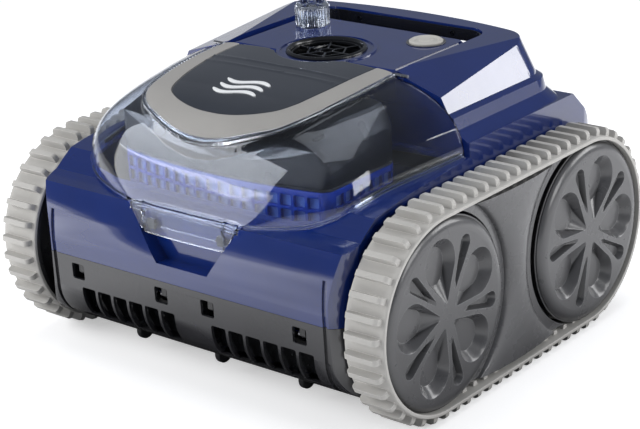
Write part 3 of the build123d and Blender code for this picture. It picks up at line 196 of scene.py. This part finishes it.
# ---- materials, one for each slot of the record --------------------------------------------------
FINE_GRAIN = (2200.0, 0.00002, 2)
LEATHERY = (900.0, 0.00006, 3)
NAVY = srgb(13, 36, 98)
MATERIALS = {
    "shell_blue": plastic("Housing_blue", NAVY, 0.16, [(26.0, 0.00012, 2), (1500.0, 0.000004, 2)],
                          vary=0.10, rough_vary=0.05, coat=1.0),
    # The side plate's edges are lightened as a painted highlight.
    "grey_plastic": plastic("Side_plate_grey", srgb(84, 84, 86), 0.27, [LEATHERY], coat=0.3,
                            edge=(0.0008, srgb(120, 120, 122), 0.80, 0.99)),
    # The wheel's edges are lightened as a painted highlight, and its recesses are darkened as painted shade.
    "wheel_plastic": plastic("Wheel_grey", srgb(76, 76, 78), 0.30, [LEATHERY], coat=0.3,
                             edge=(0.0009, srgb(150, 150, 152), 0.82, 0.99), cavity=(0.016, 0.12)),
    "skirt_plastic": plastic("Skirt_black", srgb(50, 50, 53), 0.18, [(30.0, 0.0001, 2), FINE_GRAIN],
                             coat=0.6),
    "black_plastic": plastic("Inner_black", srgb(20, 21, 24), 0.24, [(24.0, 0.0001, 2), FINE_GRAIN],
                             coat=0.3),
    "button_plastic": plastic("Button_beige", srgb(190, 188, 182), 0.4, [LEATHERY], vary=0.05),
    "spring_steel": plastic("Spring_steel", srgb(168, 168, 172), 0.28, [FINE_GRAIN], metallic=1.0),
    "pin_steel": plastic("Pin_steel", srgb(188, 188, 190), 0.2, [FINE_GRAIN], metallic=1.0),
    "clip_steel": plastic("Clip_dark", srgb(36, 36, 38), 0.3, [FINE_GRAIN], coat=0.3),
    "trim_plastic": plastic("Trim_grey", srgb(158, 156, 153), 0.42, [LEATHERY], vary=0.04),
    "panel_plastic": plastic("Panel_slate", srgb(46, 50, 58), 0.2, [(30.0, 0.00008, 2), FINE_GRAIN],
                             coat=0.8),
    "emblem_plastic": plastic("Emblem_white", srgb(236, 238, 240), 0.3, [FINE_GRAIN], vary=0.03),
    "seal_rubber": plastic("Seal_rubber", srgb(24, 24, 26), 0.6, [LEATHERY]),
    "mesh_fabric": plastic("Filter_mesh", srgb(70, 100, 170), 0.7, [(1400.0, 0.0003, 3)]),
    "roller_rubber": plastic("Roller_rubber", srgb(52, 52, 54), 0.55, [LEATHERY]),
    "motor_metal": plastic("Motor_metal", srgb(130, 132, 136), 0.35, [LEATHERY], metallic=0.9),
    "battery_plastic": plastic("Battery_wrap", srgb(30, 60, 120), 0.45, [FINE_GRAIN]),
    "bush_plastic": plastic("Bush_plastic", srgb(210, 206, 196), 0.5, [FINE_GRAIN]),
    "screw_steel": plastic("Screw_steel", srgb(60, 60, 64), 0.3, [FINE_GRAIN], metallic=1.0),
    # The belt's edges are lightened as a painted highlight.
    "belt_rubber": plastic("Belt_rubber", srgb(182, 180, 176), 0.62,
                           [(500.0, 0.00012, 4), (60.0, 0.0002, 3)], vary=0.07,
                           rough_vary=0.08, edge=(0.001, srgb(214, 212, 208), 0.75, 0.98)),
    "clear_plastic": clear_plastic("Clear_lid", srgb(232, 238, 248), 0.03, [(20.0, 0.0001, 2)]),
    "basket_plastic": clear_plastic("Basket_blue", srgb(22, 62, 168), 0.14, [(60.0, 0.0001, 2)], haze=0.7),
}


# ---- the CAD nodes that stay ---------------------------------------------------------------------
BEVELS = {
    "main_housing": 0.0012, "deck_cover": 0.0012, "carry_handle": 0.0016, "front_skirt": 0.0008,
    "canister_top": 0.003, "side_plate_left": 0.0012, "side_plate_right": 0.0012,
}
DEFAULT_BEVEL = 0.0005


def dress(node, slot):
    """Gives a CAD node its material, rounded edges and smooth shading, leaving its mesh alone."""
    piece = NODES[node]
    piece.data.materials.clear()
    piece.data.materials.append(MATERIALS[slot])
    weld = piece.modifiers.new("Weld", "WELD")
    weld.merge_threshold = 0.00001
    bevel = piece.modifiers.new("Bevel", "BEVEL")
    bevel.width = BEVELS.get(node, DEFAULT_BEVEL)
    bevel.segments = 3
    bevel.limit_method = "ANGLE"
    bevel.angle_limit = math.radians(28)
    bevel.harden_normals = True
    bevel.use_clamp_overlap = True


for part in frame["record"]["subparts"]:
    dress(part["node"], part["material_slot"])


# ---- camera, lights, floor -----------------------------------------------------------------------
# The camera was solved once; it has no shift. Angles are in radians, the place in metres.
CAMERA_PLACE = (1.09149, -1.31206, 0.74594)
CAMERA_AZIMUTH, CAMERA_ELEVATION, CAMERA_ROLL = 0.6964, 0.3593, -0.0485
LENS_MM, SENSOR_MM = 110.4, 36.0


def make_camera():
    """A camera at the stated place and angles, rolled about its own line of sight."""
    data = bpy.data.cameras.new("Camera")
    data.lens = LENS_MM
    data.sensor_width = SENSOR_MM
    camera = bpy.data.objects.new("Camera", data)
    bpy.context.scene.collection.objects.link(camera)
    azimuth, elevation, roll = CAMERA_AZIMUTH, CAMERA_ELEVATION, CAMERA_ROLL
    back = Vector((math.sin(azimuth) * math.cos(elevation), -math.cos(azimuth) * math.cos(elevation),
                   math.sin(elevation)))
    right = Vector((math.cos(azimuth), math.sin(azimuth), 0))
    up = back.cross(right)
    rolled_right = right * math.cos(roll) + up * math.sin(roll)
    rolled_up = up * math.cos(roll) - right * math.sin(roll)
    camera.matrix_world = Matrix.Translation(CAMERA_PLACE) @ Matrix(
        (rolled_right, rolled_up, back)).transposed().to_4x4()
    bpy.context.scene.camera = camera


def make_light(name, place, target, size, power, mirrored_in=True):
    """A white soft box that faces a target point; it may be left out of reflections."""
    data = bpy.data.lights.new(name, "AREA")
    data.shape = "RECTANGLE"
    data.size, data.size_y = size
    data.energy = power
    light = bpy.data.objects.new(name, data)
    bpy.context.scene.collection.objects.link(light)
    light.location = place
    light.rotation_mode = "QUATERNION"
    light.rotation_quaternion = (Vector(target) - Vector(place)).to_track_quat("-Z", "Y")
    light.visible_camera = False
    light.visible_glossy = mirrored_in
    return light


FLOOR_REACH = 6.0
DIM_START, DIM_END = 0.24, 0.40     # distance from the middle over which the dimming fades out


def make_floor():
    """A pale floor. The camera sees it pale all over, but near the cleaner other rays find it dark."""
    mesh = bpy.data.meshes.new("Floor")
    corners = [(-1, -1), (1, -1), (1, 1), (-1, 1)]
    mesh.from_pydata([(x * FLOOR_REACH, y * FLOOR_REACH, 0) for x, y in corners], [], [(0, 1, 2, 3)])
    floor = bpy.data.objects.new("Floor", mesh)
    bpy.context.scene.collection.objects.link(floor)
    paper = plastic("Floor_paper", srgb(246, 246, 247), 0.9, [], vary=0.01, specular=0.2)
    tree = paper.node_tree
    glow = tree.nodes["Principled BSDF"]
    glow.inputs["Emission Color"].default_value = (1, 1, 1, 1)
    glow.inputs["Emission Strength"].default_value = 0.45
    # Near the cleaner the floor throws little light back onto it and shows dark in its reflections.
    coords = tree.nodes.new("ShaderNodeTexCoord")
    spread = tree.nodes.new("ShaderNodeVectorMath")
    spread.operation = "LENGTH"
    tree.links.new(coords.outputs["Object"], spread.inputs[0])
    near = add_ramp(tree, spread.outputs["Value"], 1.0, 0.0, DIM_START, DIM_END)
    path = tree.nodes.new("ShaderNodeLightPath")
    bounce = tree.nodes.new("ShaderNodeMath")
    bounce.operation = "SUBTRACT"
    bounce.inputs[0].default_value = 1.0
    tree.links.new(path.outputs["Is Camera Ray"], bounce.inputs[1])
    share = tree.nodes.new("ShaderNodeMath")
    share.operation = "MULTIPLY"
    tree.links.new(near, share.inputs[0])
    tree.links.new(bounce.outputs["Value"], share.inputs[1])
    dim = tree.nodes.new("ShaderNodeBsdfDiffuse")
    dim.inputs["Color"].default_value = (0.03, 0.03, 0.03, 1)
    blend = tree.nodes.new("ShaderNodeMixShader")
    tree.links.new(share.outputs["Value"], blend.inputs["Fac"])
    tree.links.new(glow.outputs["BSDF"], blend.inputs[1])
    tree.links.new(dim.outputs["BSDF"], blend.inputs[2])
    tree.links.new(blend.outputs["Shader"], tree.nodes["Material Output"].inputs["Surface"])
    mesh.materials.append(paper)


make_camera()
make_floor()
world = bpy.data.worlds.new("Studio")
bpy.context.scene.world = world
world.use_nodes = True
world.node_tree.nodes["Background"].inputs["Color"].default_value = srgb(225, 232, 245)
world.node_tree.nodes["Background"].inputs["Strength"].default_value = 0.22
make_light("Front_left", (-1.25, -1.45, 1.05), (0, -0.1, 0.15), (1.5, 0.85), 34, mirrored_in=False)
LID_LIGHT = make_light("Front_low", (-1.25, -1.55, 0.40), (0, -0.15, 0.18), (1.5, 0.56), 8)
make_light("Back_right", (1.335, 1.41, 0.83), (0.145, 0.05, 0.245), (1.0, 0.62), 13)
make_light("Overhead", (0.1, 0.2, 2.1), (0, 0, 0.2), (1.6, 1.6), 16, mirrored_in=False)
make_light("Right_side", (2.0, 0.35, 0.8), (0.1, 0, 0.1), (0.8, 0.8), 12)
bpy.context.scene.view_settings.view_transform = "Standard"


# ---- mesh helpers --------------------------------------------------------------------------------
def new_piece(name, vertices, faces, slot, body, replaced=(), smooth=True):
    """A mesh piece in metres that takes a slot's material and rides on a body."""
    mesh = bpy.data.meshes.new(name)
    mesh.from_pydata([tuple(v) for v in vertices], [], [tuple(f) for f in faces])
    mesh.validate()
    builder = bmesh.new()
    builder.from_mesh(mesh)
    bmesh.ops.recalc_face_normals(builder, faces=builder.faces)
    builder.to_mesh(mesh)
    builder.free()
    if smooth:
        mesh.shade_smooth()
    mesh.materials.append(MATERIALS[slot])
    piece = bpy.data.objects.new(name, mesh)
    bpy.context.scene.collection.objects.link(piece)
    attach(piece, body)
    if replaced:
        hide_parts(*replaced)
    return piece


def grid_faces(rows, columns, wrap=False, start=0):
    """Quads of a grid of vertices stored row by row; wrap joins the last column to the first."""
    faces = []
    for row in range(rows - 1):
        for column in range(columns if wrap else columns - 1):
            right = (column + 1) % columns
            a, b = start + row * columns + column, start + row * columns + right
            faces.append((a, b, b + columns, a + columns))
    return faces


def add_bevel(piece, width, segments=2, angle=35):
    bevel = piece.modifiers.new("Bevel", "BEVEL")
    bevel.width = width
    bevel.segments = segments
    bevel.limit_method = "ANGLE"
    bevel.angle_limit = math.radians(angle)
    bevel.harden_normals = True


def smooth_through(points, samples):
    """Points on a Catmull-Rom curve through the given ones, evenly shared between them."""
    points = np.array(points, float)
    padded = np.vstack([2 * points[0] - points[1], points, 2 * points[-1] - points[-2]])
    spots = np.linspace(0, len(points) - 1, samples)
    out = []
    for spot in spots:
        k = min(int(spot), len(points) - 2)
        t = spot - k
        p0, p1, p2, p3 = padded[k:k + 4]
        out.append(0.5 * (2 * p1 + (p2 - p0) * t + (2 * p0 - 5 * p1 + 4 * p2 - p3) * t ** 2
                          + (3 * p1 - p0 - 3 * p2 + p3) * t ** 3))
    return np.array(out)


# ---- the lid's form ------------------------------------------------------------------------------
# Stations from back to front, in millimetres: y, half width, seat height, crown height.
LID_STATIONS = np.array([
    (-15.2, 171.0, 196.5, 260.5), (-37.0, 167.5, 194.6, 259.6), (-60.0, 164.0, 193.0, 257.8),
    (-100.0, 158.0, 190.5, 252.5), (-130.0, 153.5, 186.5, 245.5), (-147.0, 148.0, 181.5, 237.0),
    (-159.0, 137.0, 175.5, 226.5), (-170.0, 118.0, 169.5, 209.5), (-179.0, 92.0, 166.0, 188.5),
    (-187.0, 62.0, 163.5, 167.5),
])
LID_CURVE = smooth_through(LID_STATIONS, 400)
TRIM_OUTER = [(97.0, -15.2), (97.5, -40.0), (96.5, -70.0), (93.5, -98.0), (89.5, -121.0), (83.0, -137.0),
              (72.0, -147.5), (56.0, -154.5), (34.0, -160.5), (14.0, -163.3), (0.0, -163.8)]
TRIM_INNER = [(79.4, -15.2), (78.6, -38.0), (77.0, -63.0), (73.5, -90.0), (68.0, -114.0), (60.5, -128.5),
              (47.0, -137.5), (30.0, -143.0), (14.0, -145.5), (0.0, -146.0)]
COLLAR_Y = 14.0
COLLAR_R = 47.4
LID_FRONT_Y = LID_STATIONS[-1][0]
LID_WALL = 2.4
TAB_WALL = 2.6
TAB_TOP_Z = 167.5


def lid_at(y):
    """Half width, seat and crown heights of the lid at y, all in millimetres."""
    order = LID_CURVE[::-1]
    return [np.interp(y, order[:, 0], order[:, k]) for k in (1, 2, 3)]


def mirrored(points, samples):
    """A symmetric curve from the right rear round the front to the left rear."""
    full = list(points) + [(-x, y) for x, y in reversed(points[:-1])]
    return smooth_through(full, samples)


TONGUE = mirrored([(x + 4.5 * min(1, x / 60) if x else 0, y - (4.0 if x < 60 else 2 if x < 80 else 0))
                   for x, y in TRIM_OUTER], 240)


def tongue_share(x, y):
    """One on the raised tongue that carries the trim, nought outside, with a short steep shoulder."""
    x, y = np.broadcast_arrays(np.asarray(x, float), np.asarray(y, float))
    flat = np.stack([x.ravel(), y.ravel()], 1)
    gap = np.min(np.linalg.norm(flat[:, None] - TONGUE[None], axis=2), axis=1)
    half = len(TONGUE) // 2
    edge_x = np.interp(flat[:, 1], TONGUE[:half + 1][::-1, 1], TONGUE[:half + 1][::-1, 0], left=0)
    signed = np.where(np.abs(flat[:, 0]) < edge_x, gap, -gap)
    share = np.clip((signed + 2.2) / 3.2, 0, 1)
    return (share * share * (3 - 2 * share)).reshape(x.shape)


def lid_height(x, y):
    """Height of the lid's outer face over a point in plan, in millimetres."""
    half, seat, crown = lid_at(y)
    dome = seat + (crown - seat) * np.sqrt(np.clip(1 - (np.abs(x) / half) ** 4, 0, 1))
    lift = np.interp(y, [-170, -150, -110, -15], [7.5, 6.0, 3.0, 1.6])
    return dome + lift * tongue_share(x, y)


def rear_edge(x):
    """Where the lid's rear edge is, round the outlet's collar, with room to swing past it."""
    x = np.asarray(x, float)
    inside = np.clip(COLLAR_R ** 2 - x ** 2, 0, None)
    return np.minimum(np.where(np.abs(x) < 41.0, -18.0, -15.2), COLLAR_Y - np.sqrt(inside))


def build_lid():
    """The clear dome, from its rear edge to a nose that turns down in front."""
    rows, columns = 170, 261
    t = np.linspace(0, math.pi, columns)
    across = np.sign(np.cos(t)) * np.sqrt(np.abs(np.cos(t)))
    start_x = across * LID_STATIONS[0][1]
    y0 = rear_edge(start_x)
    s = np.linspace(0, 1, rows)[:, None]
    y = y0 + s * (LID_FRONT_Y - y0)
    half, seat, crown = lid_at(y)
    x = half * across
    z = lid_height(x, y)
    z[:, 0], z[:, -1] = seat[:, 0], seat[:, -1]
    top = np.stack([x, y, z], 2).reshape(-1, 3) * MM
    faces = grid_faces(rows, columns)
    # The nose closes downwards from the last row, rounded over.
    nose = []
    for drop, out in ((1.2, 1.2), (3.0, 1.9), (5.5, 2.2), (8.5, 2.2)):
        row = np.stack([x[-1], y[-1] - out, np.maximum(z[-1] - drop, seat[-1] - 2)], 1) * MM
        nose.append(row)
    base = (rows - 1) * columns
    vertices = np.vstack([top] + nose)
    faces += grid_faces(5, columns, start=base)
    lid = new_piece("lid_dome", vertices, faces, "clear_plastic", "lid", ["lid"])
    wall = lid.modifiers.new("Wall", "SOLIDIFY")
    wall.thickness = LID_WALL * MM
    wall.offset = -1
    wall.use_even_offset = False


def build_lid_rim():
    """A bead along each side of the lid's lower edge."""
    y = np.linspace(-16.0, -186.0, 140)
    half, seat, crown = lid_at(y)
    ring = []
    for angle in np.linspace(0, 2 * math.pi, 13)[:-1]:
        ring.append((1.5 * math.cos(angle), 1.7 * math.sin(angle)))
    for side, name in ((-1, "left"), (1, "right")):
        tangent_x = np.gradient(half, y)
        normal = np.stack([np.ones_like(y), -tangent_x], 1)
        normal /= np.linalg.norm(normal, axis=1)[:, None]
        rows = []
        for k in range(len(y)):
            for out, up in ring:
                rows.append((side * (half[k] - 0.9 + out * normal[k, 0]), y[k] + out * normal[k, 1],
                             seat[k] + 1.8 + up))
        vertices = np.array(rows) * MM
        faces = grid_faces(len(y), len(ring), wrap=True)
        faces.append(tuple(range(len(ring))))
        faces.append(tuple(range((len(y) - 1) * len(ring), len(y) * len(ring))))
        new_piece(f"lid_rim_{name}", vertices, faces, "clear_plastic", "lid")


def build_lid_tab():
    """The finger tab that hangs in front of the housing."""
    left = [(-62.5, 167), (-54, 152.5), (-46.5, 142.4), (-42, 141)]
    right = [(-x, z) for x, z in reversed(left)]
    samples = smooth_through(left + [(0, 140.6)] + right, 49)
    rows = []
    for level in np.linspace(0, 1, 13):
        for x, z in samples:
            rows.append((x, -187.6 - 1.2 * math.sin(math.pi * (1 - abs(x) / 64) / 2),
                         z + (TAB_TOP_Z - z) * level))
    vertices = np.array(rows) * MM
    tab = new_piece("lid_tab", vertices, grid_faces(13, len(samples)), "clear_plastic", "lid")
    wall = tab.modifiers.new("Wall", "SOLIDIFY")
    wall.thickness = TAB_WALL * MM
    wall.offset = 1
    add_bevel(tab, 0.6 * MM)


def ribbon(name, outer, inner, low, high, slot, body, replaced, across=9, crown=0.5):
    """A strip between two plan curves that follows the lid: a closed body with a slightly crowned face."""
    rows = []
    for share in np.linspace(0, 1, across):
        xy = outer + (inner - outer) * share
        z = lid_height(xy[:, 0], xy[:, 1])
        rise = high + crown * (1 - (2 * share - 1) ** 2)
        rows.append(np.stack([xy[:, 0], xy[:, 1], z + rise], 1))
    for share in np.linspace(1, 0, across):
        xy = outer + (inner - outer) * share
        z = lid_height(xy[:, 0], xy[:, 1])
        rows.append(np.stack([xy[:, 0], xy[:, 1], z + low], 1))
    count = len(outer)
    vertices = np.vstack(rows) * MM
    faces = grid_faces(len(rows), count)
    last = (len(rows) - 1) * count
    faces += [(last + k, last + k + 1, k + 1, k) for k in range(count - 1)]
    faces.append(tuple(row * count for row in range(len(rows))))
    faces.append(tuple(row * count + count - 1 for row in reversed(range(len(rows)))))
    piece = new_piece(name, vertices, faces, slot, body, replaced)
    add_bevel(piece, 0.5 * MM, 3, 40)
    return piece


def build_window():
    """The dark panel inside the trim, with two transverse ridges."""
    inner = mirrored([(x - 0.5 * (x > 0), y + 0.5 * (x == 0)) for x, y in TRIM_INNER], 161)
    rear_x = np.linspace(inner[-1, 0], inner[0, 0], 61)[1:-1]
    rear = np.stack([rear_x, rear_edge(rear_x) - 0.3], 1)
    outline = np.vstack([inner, rear])
    centre = np.array((0.0, -88.0))
    rows = []
    for share in np.linspace(0.02, 1, 46):
        xy = centre + (outline - centre) * share
        z = lid_height(xy[:, 0], xy[:, 1]) + 0.9
        for ridge_y, height in ((-52.0, 1.0), (-64.0, 0.7)):
            z = z + height * np.exp(-((xy[:, 1] - ridge_y) / 1.1) ** 2)
        rows.append(np.stack([xy[:, 0], xy[:, 1], z], 1))
    count = len(outline)
    skirt = rows[-1].copy()
    skirt[:, 2] -= 2.0
    rows.append(skirt)
    vertices = np.vstack(rows) * MM
    faces = grid_faces(len(rows), count, wrap=True)
    faces.append(tuple(range(count)))
    new_piece("window_sheet", vertices, faces, "panel_plastic", "lid", ["window_panel"])


def build_emblem():
    """Three generic water waves."""
    wave_section = ((-1, 0.9), (-1, 1.7), (-0.5, 1.95), (0, 2.0), (0.5, 1.95), (1, 1.7), (1, 0.9))
    parts = []
    faces = []
    for middle_y in (-92.0, -102.0, -112.0):
        x = np.linspace(-24, 24, 49)
        wave = middle_y + 3.4 * np.sin(x / 24 * math.pi)
        thick = 2.2 * np.sqrt(np.clip(1 - (np.abs(x) / 24.6) ** 6, 0, 1))
        start = sum(len(p) for p in parts)
        rows = []
        for offset, rise in wave_section:
            y = wave - 2 + offset * thick
            rows.append(np.stack([x, y, lid_height(x, y) + rise], 1))
        parts.append(np.vstack(rows))
        faces += grid_faces(len(rows), len(x), start=start)
        faces += [tuple(start + row * len(x) for row in range(len(rows)))]
        faces += [tuple(start + row * len(x) + len(x) - 1 for row in range(len(rows)))]
    new_piece("emblem_waves", np.vstack(parts) * MM, faces, "emblem_plastic", "lid", ["lid_emblem"])


def build_trim_gasket():
    """A clear ribbed strip round the outside of the trim."""
    edge = mirrored(TRIM_OUTER, 901)
    step = np.gradient(edge, axis=0)
    away = np.stack([-step[:, 1], step[:, 0]], 1) / np.linalg.norm(step, axis=1)[:, None]
    if away[len(edge) // 2, 1] > 0:
        away = -away
    ripple = 0.55 * np.abs(np.sin(np.linspace(0, math.pi * 150, len(edge))))
    rows = []
    for out, rise in ((0.3, 0.2), (0.3, 1.2), (1.2, 1.7), (2.6, 1.6), (3.6, 1.0), (3.6, 0.2)):
        xy = edge + away * out
        z = lid_height(xy[:, 0], xy[:, 1]) + rise + ripple * (rise > 0.5)
        rows.append(np.stack([xy[:, 0], xy[:, 1], z], 1))
    count = len(edge)
    faces = grid_faces(len(rows), count)
    last = (len(rows) - 1) * count
    faces += [(last + k, last + k + 1, k + 1, k) for k in range(count - 1)]
    faces.append(tuple(row * count for row in range(len(rows))))
    faces.append(tuple(row * count + count - 1 for row in reversed(range(len(rows)))))
    new_piece("trim_gasket", np.vstack(rows) * MM, faces, "clear_plastic", "lid")


build_lid()
build_lid_rim()
build_lid_tab()
build_trim_gasket()
ribbon("trim_band", mirrored(TRIM_OUTER, 201), mirrored(TRIM_INNER, 201), 0.1, 1.5, "trim_plastic",
       "lid", ["lid_trim"])
build_window()
build_emblem()


# ---- tracks --------------------------------------------------------------------------------------
AXLE_Z = 95.8
HALF_BASE = 111.1
BELT_R = 88.0
BELT_MIDDLE_X = 199.8
RUN_LUGS, BEND_LUGS = 14, 17


def belt_frame(length):
    """Place on the belt's path, from the length along it: y, z and the outward direction there."""
    run, bend = 2 * HALF_BASE, math.pi * BELT_R
    length %= 2 * (run + bend)
    if length < run:
        return -HALF_BASE + length, AXLE_Z + BELT_R, 90.0
    if length < run + bend:
        turn = (length - run) / bend * 180
        return (HALF_BASE + BELT_R * math.sin(math.radians(turn)),
                AXLE_Z + BELT_R * math.cos(math.radians(turn)), 90.0 - turn)
    if length < 2 * run + bend:
        return HALF_BASE - (length - run - bend), AXLE_Z - BELT_R, -90.0
    turn = (length - 2 * run - bend) / bend * 180
    return (-HALF_BASE - BELT_R * math.sin(math.radians(turn)),
            AXLE_Z - BELT_R * math.cos(math.radians(turn)), -90.0 - turn)


def lug_profile():
    """A paddle seen along the belt: across and height, with big round corners at its ends."""
    points = [(-16.6, -0.8)]
    for centre, start, end in ((-12.6, 180, 90), (12.6, 90, 0)):
        for angle in np.linspace(start, end, 7):
            points.append((centre + 4.0 * math.cos(math.radians(angle)),
                           3.8 + 4.0 * math.sin(math.radians(angle))))
    points.append((16.6, -0.8))
    return points


def build_belt(name, side):
    """A closed band with paddles outside and teeth inside; it does not move on its path."""
    vertices, faces = [], []
    middle_x = side * BELT_MIDDLE_X
    # The band itself: a closed ring with softened edges.
    section = [(-20.2, -2.9), (-19.7, -3.4), (19.7, -3.4), (20.2, -2.9), (20.2, -0.7), (19.5, 0.0),
               (17.5, 0.25), (-17.5, 0.25), (-19.5, 0.0), (-20.2, -0.7)]
    run_steps, bend_steps = 28, 68
    run, bend = 2 * HALF_BASE, math.pi * BELT_R
    lengths = list(np.linspace(0, run, run_steps, endpoint=False))
    lengths += list(run + np.linspace(0, bend, bend_steps, endpoint=False))
    lengths += [run + bend + value for value in lengths]
    for length in lengths:
        y, z, out = belt_frame(length)
        for across, rise in section:
            vertices.append((middle_x + across, y + rise * math.cos(math.radians(out)),
                             z + rise * math.sin(math.radians(out))))
    count = len(section)
    faces += grid_faces(len(lengths), count, wrap=True)
    last = (len(lengths) - 1) * count
    faces += [(last + k, last + (k + 1) % count, (k + 1) % count, k) for k in range(count)]
    profile = lug_profile()
    step_run, step_bend = run / RUN_LUGS, bend / BEND_LUGS
    places = [k * step_run for k in range(RUN_LUGS)]
    places += [run + k * step_bend for k in range(BEND_LUGS)]
    places += [run + bend + value for value in places]
    for length in places:
        y, z, out = belt_frame(length)
        radial = Vector((0, math.cos(math.radians(out)), math.sin(math.radians(out))))
        along = Vector((0, -radial.z, radial.y))
        for lean in (-1, 1):
            for across, rise in profile:
                half = 2.95 - 0.06 * max(0.0, rise)
                spot = Vector((middle_x + across, y, z)) + radial * rise + along * (lean * half)
                vertices.append(tuple(spot))
        start = len(vertices) - 2 * len(profile)
        size = len(profile)
        faces.append(tuple(range(start, start + size)))
        faces.append(tuple(range(start + size, start + 2 * size)))
        faces += [(start + k, start + (k + 1) % size, start + size + (k + 1) % size, start + size + k)
                  for k in range(size)]
        # An inner tooth, which runs in a groove of the wheel rims.
        tooth = [(-3.2, -3.2, 3.2), (3.2, -3.2, 3.2), (3.2, -6.9, 2.4), (-3.2, -6.9, 2.4)]
        start = len(vertices)
        for edge_x in (203.2, 211.8):
            for lean, rise, half in tooth:
                spot = Vector((side * edge_x, y, z)) + radial * rise + along * (math.copysign(half, lean))
                vertices.append(tuple(spot))
        faces += [tuple(start + k for k in range(4)), tuple(start + 4 + k for k in range(4))]
        faces += [(start + k, start + (k + 1) % 4, start + 4 + (k + 1) % 4, start + 4 + k) for k in range(4)]
    belt = new_piece(f"belt_{name}", np.array(vertices) * MM, faces, "belt_rubber", "chassis",
                     [f"track_belt_{name}"])
    add_bevel(belt, 0.7 * MM, 3, 40)


build_belt("left", -1)
build_belt("right", 1)


# ---- side panels and the black band painted as shade in the handle's loop ------------------------
PANEL_CLEAR_R = 86.2        # round each wheel, where the panel ends
PANEL_SWELL_R = 96.0        # round each wheel, where the swollen middle begins
PANEL_BACK_X = 203.6


def build_side_panel(name, side):
    """An hourglass between two wheels: recessed flats beside the wheels and a swollen middle."""
    rows = 81
    shares = np.linspace(0, 1, 33)
    front, back = [], []
    for dz in np.linspace(-80.0, 80.0, rows):
        edge = HALF_BASE - math.sqrt(PANEL_CLEAR_R ** 2 - dz ** 2)
        swell = HALF_BASE - math.sqrt(PANEL_SWELL_R ** 2 - dz ** 2)
        across = [-edge, -edge + 0.8]
        flat = edge - 0.8 - swell - 1.2
        across += [-swell - 1.2 + flat * (share - 1) for share in (0.25, 0.5, 0.75, 1.0)]
        across += [swell * (2 * share - 1) for share in shares]
        across += [-value for value in reversed(across[:6])]
        for y in across:
            if abs(y) > edge - 0.4:
                x = 209.0
            elif abs(y) > swell + 0.6:
                x = 210.2 + 1.2 * (1 - (edge - abs(y)) / max(1.0, edge - swell))
            else:
                x = 213.4 + 5.0 * (1 - (y / swell) ** 2) ** 0.75
            front.append((side * x, y, AXLE_Z + dz))
            back.append((side * PANEL_BACK_X, y, AXLE_Z + dz))
    columns = len(across)
    faces = grid_faces(rows, columns)
    start = rows * columns
    faces += [tuple(reversed(face)) for face in grid_faces(rows, columns, start=start)]
    border = list(range(columns)) + [row * columns + columns - 1 for row in range(1, rows)]
    border += [(rows - 1) * columns + k for k in range(columns - 2, -1, -1)]
    border += [row * columns for row in range(rows - 2, 0, -1)]
    following = border[1:] + border[:1]
    faces += [(here, after, after + start, here + start) for here, after in zip(border, following)]
    panel = new_piece(f"side_panel_{name}", np.array(front + back) * MM, faces, "grey_plastic", "chassis",
                      [f"side_plate_{name}"])
    add_bevel(panel, 0.5 * MM, 2, 50)


def build_handle_shade_band():
    """A black strip round the inside of the handle's loop: painted shade on the loop's inner wall."""
    path = [(-96.9, 100.0), (-96.9, 113.0)]
    path += [(-76 - 20.9 * math.cos(a), 113 + 20.9 * math.sin(a)) for a in np.linspace(0.2, math.pi / 2, 8)]
    path += [(-x, y) for x, y in reversed(path)]
    path = np.array(path)
    inner = path - np.array([0, 1.2])
    inner[:, 0] *= 1 - 1.2 / 97
    rows = []
    for line, z in ((path, 249.2), (path, 260.2), (inner, 260.2), (inner, 249.2)):
        rows.append(np.column_stack([line, np.full(len(line), z)]))
    count = len(path)
    faces = grid_faces(4, count)
    faces += [(3 * count + k, 3 * count + k + 1, k + 1, k) for k in range(count - 1)]
    faces += [(0, count, 2 * count, 3 * count), tuple(row * count + count - 1 for row in (3, 2, 1, 0))]
    liner = new_piece("handle_liner_band", np.vstack(rows) * MM, faces, "black_plastic", "chassis",
                      ["handle_liner"], smooth=False)
    add_bevel(liner, 0.3 * MM, 2, 50)


build_side_panel("left", -1)
build_side_panel("right", 1)
build_handle_shade_band()

# The low front lamp lights the clear pieces of the lid and nothing else.
LID_LIT = ("lid_dome", "lid_rim_left", "lid_rim_right", "lid_tab")
lit = bpy.data.collections.new("Front_low_receivers")
for name in LID_LIT:
    lit.objects.link(bpy.data.objects[name])
LID_LIGHT.light_linking.receiver_collection = lit
